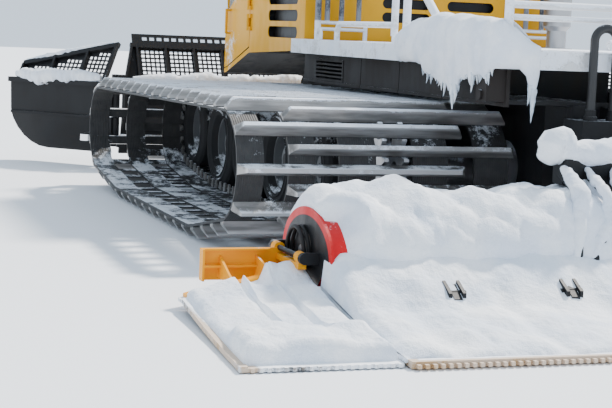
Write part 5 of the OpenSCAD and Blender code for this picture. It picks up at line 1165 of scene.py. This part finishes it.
# Columns: shares of the reach inwards and of the bulge, and metres outwards;
# then shares of the height and of the hang, and metres upwards
SLAB_STATIONS = np.array([
    (1, 0, 0, 0, 0, -0.004), (0.8, 0, 0, 0.55, 0, 0), (0.45, 0, 0, 0.95, 0, 0), (0.12, 0, 0, 1, 0, 0),
    (0, 0.4, 0, 0.8, 0, 0), (0, 1.1, 0, 0.3, 0, 0), (0, 1.1, 0, 0, 0.35, 0), (0, 0.8, 0, 0, 0.8, 0),
    (0, 0.4, 0, 0, 1, 0), (0, 0, 0.002, 0, 0.9, 0), (0, 0, -0.003, 0, 0.4, 0), (0, 0, -0.006, 0, 0, -0.006),
])


def hang(reached):
    """How far the slab hangs down at a distance along its path."""
    return np.interp(reached, *SLAB_HANGS.T)


def stand(reached):
    """How tall the slab stands, by straight lines between the distances that SLAB_HANGS names."""
    distances = SLAB_HANGS[:, 0]
    return np.interp(reached, distances, np.interp(distances, *SLAB_STANDS.T))


def smooth_ring(stations, fine):
    """A closed curve through stations: a cubic between two of them, steered by the ones before and after."""
    count = stations.shape[1]
    spots = np.linspace(0, count, count * fine, endpoint=False)
    low = np.floor(spots).astype(int)
    part = (spots - low)[None, :, None]
    before, here, after, later = (stations[:, (low + k) % count] for k in (-1, 0, 1, 2))
    return 0.5 * (
        2 * here + (after - before) * part + (2 * before - 5 * here + 4 * after - later) * part ** 2
        + (3 * here - before - 3 * after + later) * part ** 3
    )


def slab(corners, rows, seed, reach):
    """Outline along the path: SLAB_STATIONS times reach, bulge, height and hang, with ridges and lumps."""
    path = resampled(corners, rows)
    along = unit(np.gradient(path, axis=0))
    along[1:-1] = (along[:-2] + along[1:-1] + along[2:]) / 3
    out = unit(np.cross(along, UPWARD))
    reached = np.linspace(0, SLAB_HANGS[-1, 0], rows)
    fade = within(reached, 0, reached[-1], 0.06) ** 0.5
    drop = hang(reached) + 0.014 * (hills(path, 0.03, seed) - 0.5)
    tall = stand(reached) * (0.92 + 0.16 * hills(path, 0.2, seed + 4))
    inner = reach * (0.8 + 0.4 * hills(path, 0.3, seed + 5))
    one = np.ones(rows)
    outwards = SLAB_STATIONS[:, :3] @ np.stack((-inner, 0.030 * fade + 0.006, one))
    upwards = SLAB_STATIONS[:, 3:] @ np.stack((tall, -drop, one))
    outline = smooth_ring(np.stack((outwards.T, upwards.T), axis=-1), 5)
    skin = path[:, None] + outline[..., :1] * out[:, None] + outline[..., 1:] * UPWARD
    ridges = hills(path * (FORWARD + LEFTWARD), 0.035, seed + 8)[:, None] - 0.4
    outer = ramp(outline[..., 0] / 0.012) * fade[:, None]
    above = ramp(outline[..., 1] / 0.05) * fade[:, None]
    outline[..., 0] += outer * (0.016 * ridges + 0.02 * (lumps(skin, 0.2, seed + 9) - 0.3))
    outline[..., 1] += above * 0.03 * (lumps(skin, 0.25, seed + 2) - 0.3)
    return sweep(path, out, UPWARD, outline)


# %% Slab on the deck's corner
SLAB_FRONT_X = 0.22
SLAB_Z = 1.112
CORNER_X, CORNER_Y, CORNER_R = -0.95, 1.0, 0.052

corner_path = [(SLAB_FRONT_X, CORNER_Y + CORNER_R, SLAB_Z)]
for turned in np.radians(np.linspace(0, 90, 7)):
    behind, beside = CORNER_R * math.sin(turned), CORNER_R * math.cos(turned)
    corner_path.append((CORNER_X - behind, CORNER_Y + beside, SLAB_Z))
corner_path.append((CORNER_X - CORNER_R, 0.835, SLAB_Z))
make_piece("snow_slab_on_deck", slab(corner_path, 420, 81, 0.20), "chassis", snow)

# %% [markdown]
# An icicle is a circle that shrinks down a nearly straight line, with a few swellings
# where water froze on its way down. The six long ones hang where the photograph shows
# them, and small ones line the slab's lower edge. All of them are one mesh.

# %% Icicles
SMALL_FROM_X, SMALL_RUN = -0.17, 0.80
SMALL_Y = 1.066


def icicle(x, y, z, length, radius, seed):
    """A cone of ice: radius * (1 - t) to the power 0.8, with swellings, and a slight bend."""
    t = np.linspace(0, 1, 12)
    draw = np.random.default_rng(seed).random(4)
    path = np.stack((
        x + 0.02 * (draw[0] - 0.5) * t ** 2, y + 0.02 * (draw[1] - 0.5) * t ** 2, z - length * t,
    ), axis=-1)
    size = radius * ((1 - t) ** 0.8 + 0.02) * (1 + 0.12 * np.sin(t * 22 + draw[2] * 6))
    return sweep(path, FORWARD, LEFTWARD, circle(9)[None] * size[:, None, None])


# Columns: x, y and z of the top, length, radius
long_icicles = (
    (-0.555, 1.070, 0.93, 0.13, 0.020),
    (-0.785, 1.070, 1.00, 0.105, 0.014),
    (-0.60, 1.072, 0.93, 0.06, 0.012),
    (-0.935, 1.068, 1.00, 0.055, 0.010),
    (-1.018, 0.868, 0.93, 0.16, 0.018),
    (-1.016, 0.885, 0.95, 0.10, 0.013),
)
icicles = [icicle(*values, number) for number, values in enumerate(long_icicles)]
draws = np.random.default_rng(7)
for share in np.linspace(0, 1, 26):
    x = SMALL_FROM_X - SMALL_RUN * share + draws.uniform(-0.012, 0.012)
    length = 0.02 + 0.05 * draws.random() ** 2
    top = SLAB_Z - float(hang(SLAB_FRONT_X - x)) + 0.012
    icicles.append(icicle(x, SMALL_Y, top, length, 0.006 + 0.05 * length, len(icicles)))
make_piece("icicles", joined(icicles), "chassis", ice)

# %% [markdown]
# Light and floor come last before the finish. The sun stands high in front of the
# machine's right side, as the shadows in the photograph say, so the sides that we see
# are lit by the sky and by the snow. The floor is pale and plain.

# %% Floor and light
FLOOR_HALF = 60
SUN_TILT, SUN_TURN, SUN_SPREAD = 44, 36, 5
SKY = (0.72, 0.85, 1.0, 1)

floor_mesh = bpy.data.meshes.new("floor")
floor_corners = [(FLOOR_HALF * x, FLOOR_HALF * y, 0) for x, y in ((-1, -1), (1, -1), (1, 1), (-1, 1))]
floor_mesh.from_pydata(floor_corners, [], [(0, 1, 2, 3)])
floor = add_object("floor", floor_mesh)
floor_finish = Finish("pale_floor")
floor_finish.set(Base_Color=rgb(0.86, 0.88, 0.91), Roughness=0.8)
floor_mesh.materials.append(floor_finish.material)
floor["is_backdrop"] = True

sun = add_object("sun", bpy.data.lights.new("sun", "SUN"))
sun.data.energy = 7.5
sun.data.angle = math.radians(SUN_SPREAD)
sun.data.color = (1.0, 0.95, 0.88)
sun.rotation_euler = (math.radians(SUN_TILT), 0, math.radians(SUN_TURN))

world = bpy.data.worlds.new("sky")
bpy.context.scene.world = world
world.use_nodes = True
background = world.node_tree.nodes["Background"]
background.inputs["Color"].default_value = SKY
background.inputs["Strength"].default_value = 1.40

# %% [markdown]
# Last, the size of the dressed machine is measured beside that of the frame, and how
# far it has grown along each axis is printed.

# %% Measure and finish
size = {
    "cad_box": [[float(v) for v in corner] for corner in cad_box],
    "visual_box": [[float(v) for v in corner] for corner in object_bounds()],
}
for before, after in zip(size["cad_box"], size["visual_box"]):
    print("grown by", [round(b - a, 4) for a, b in zip(before, after)])
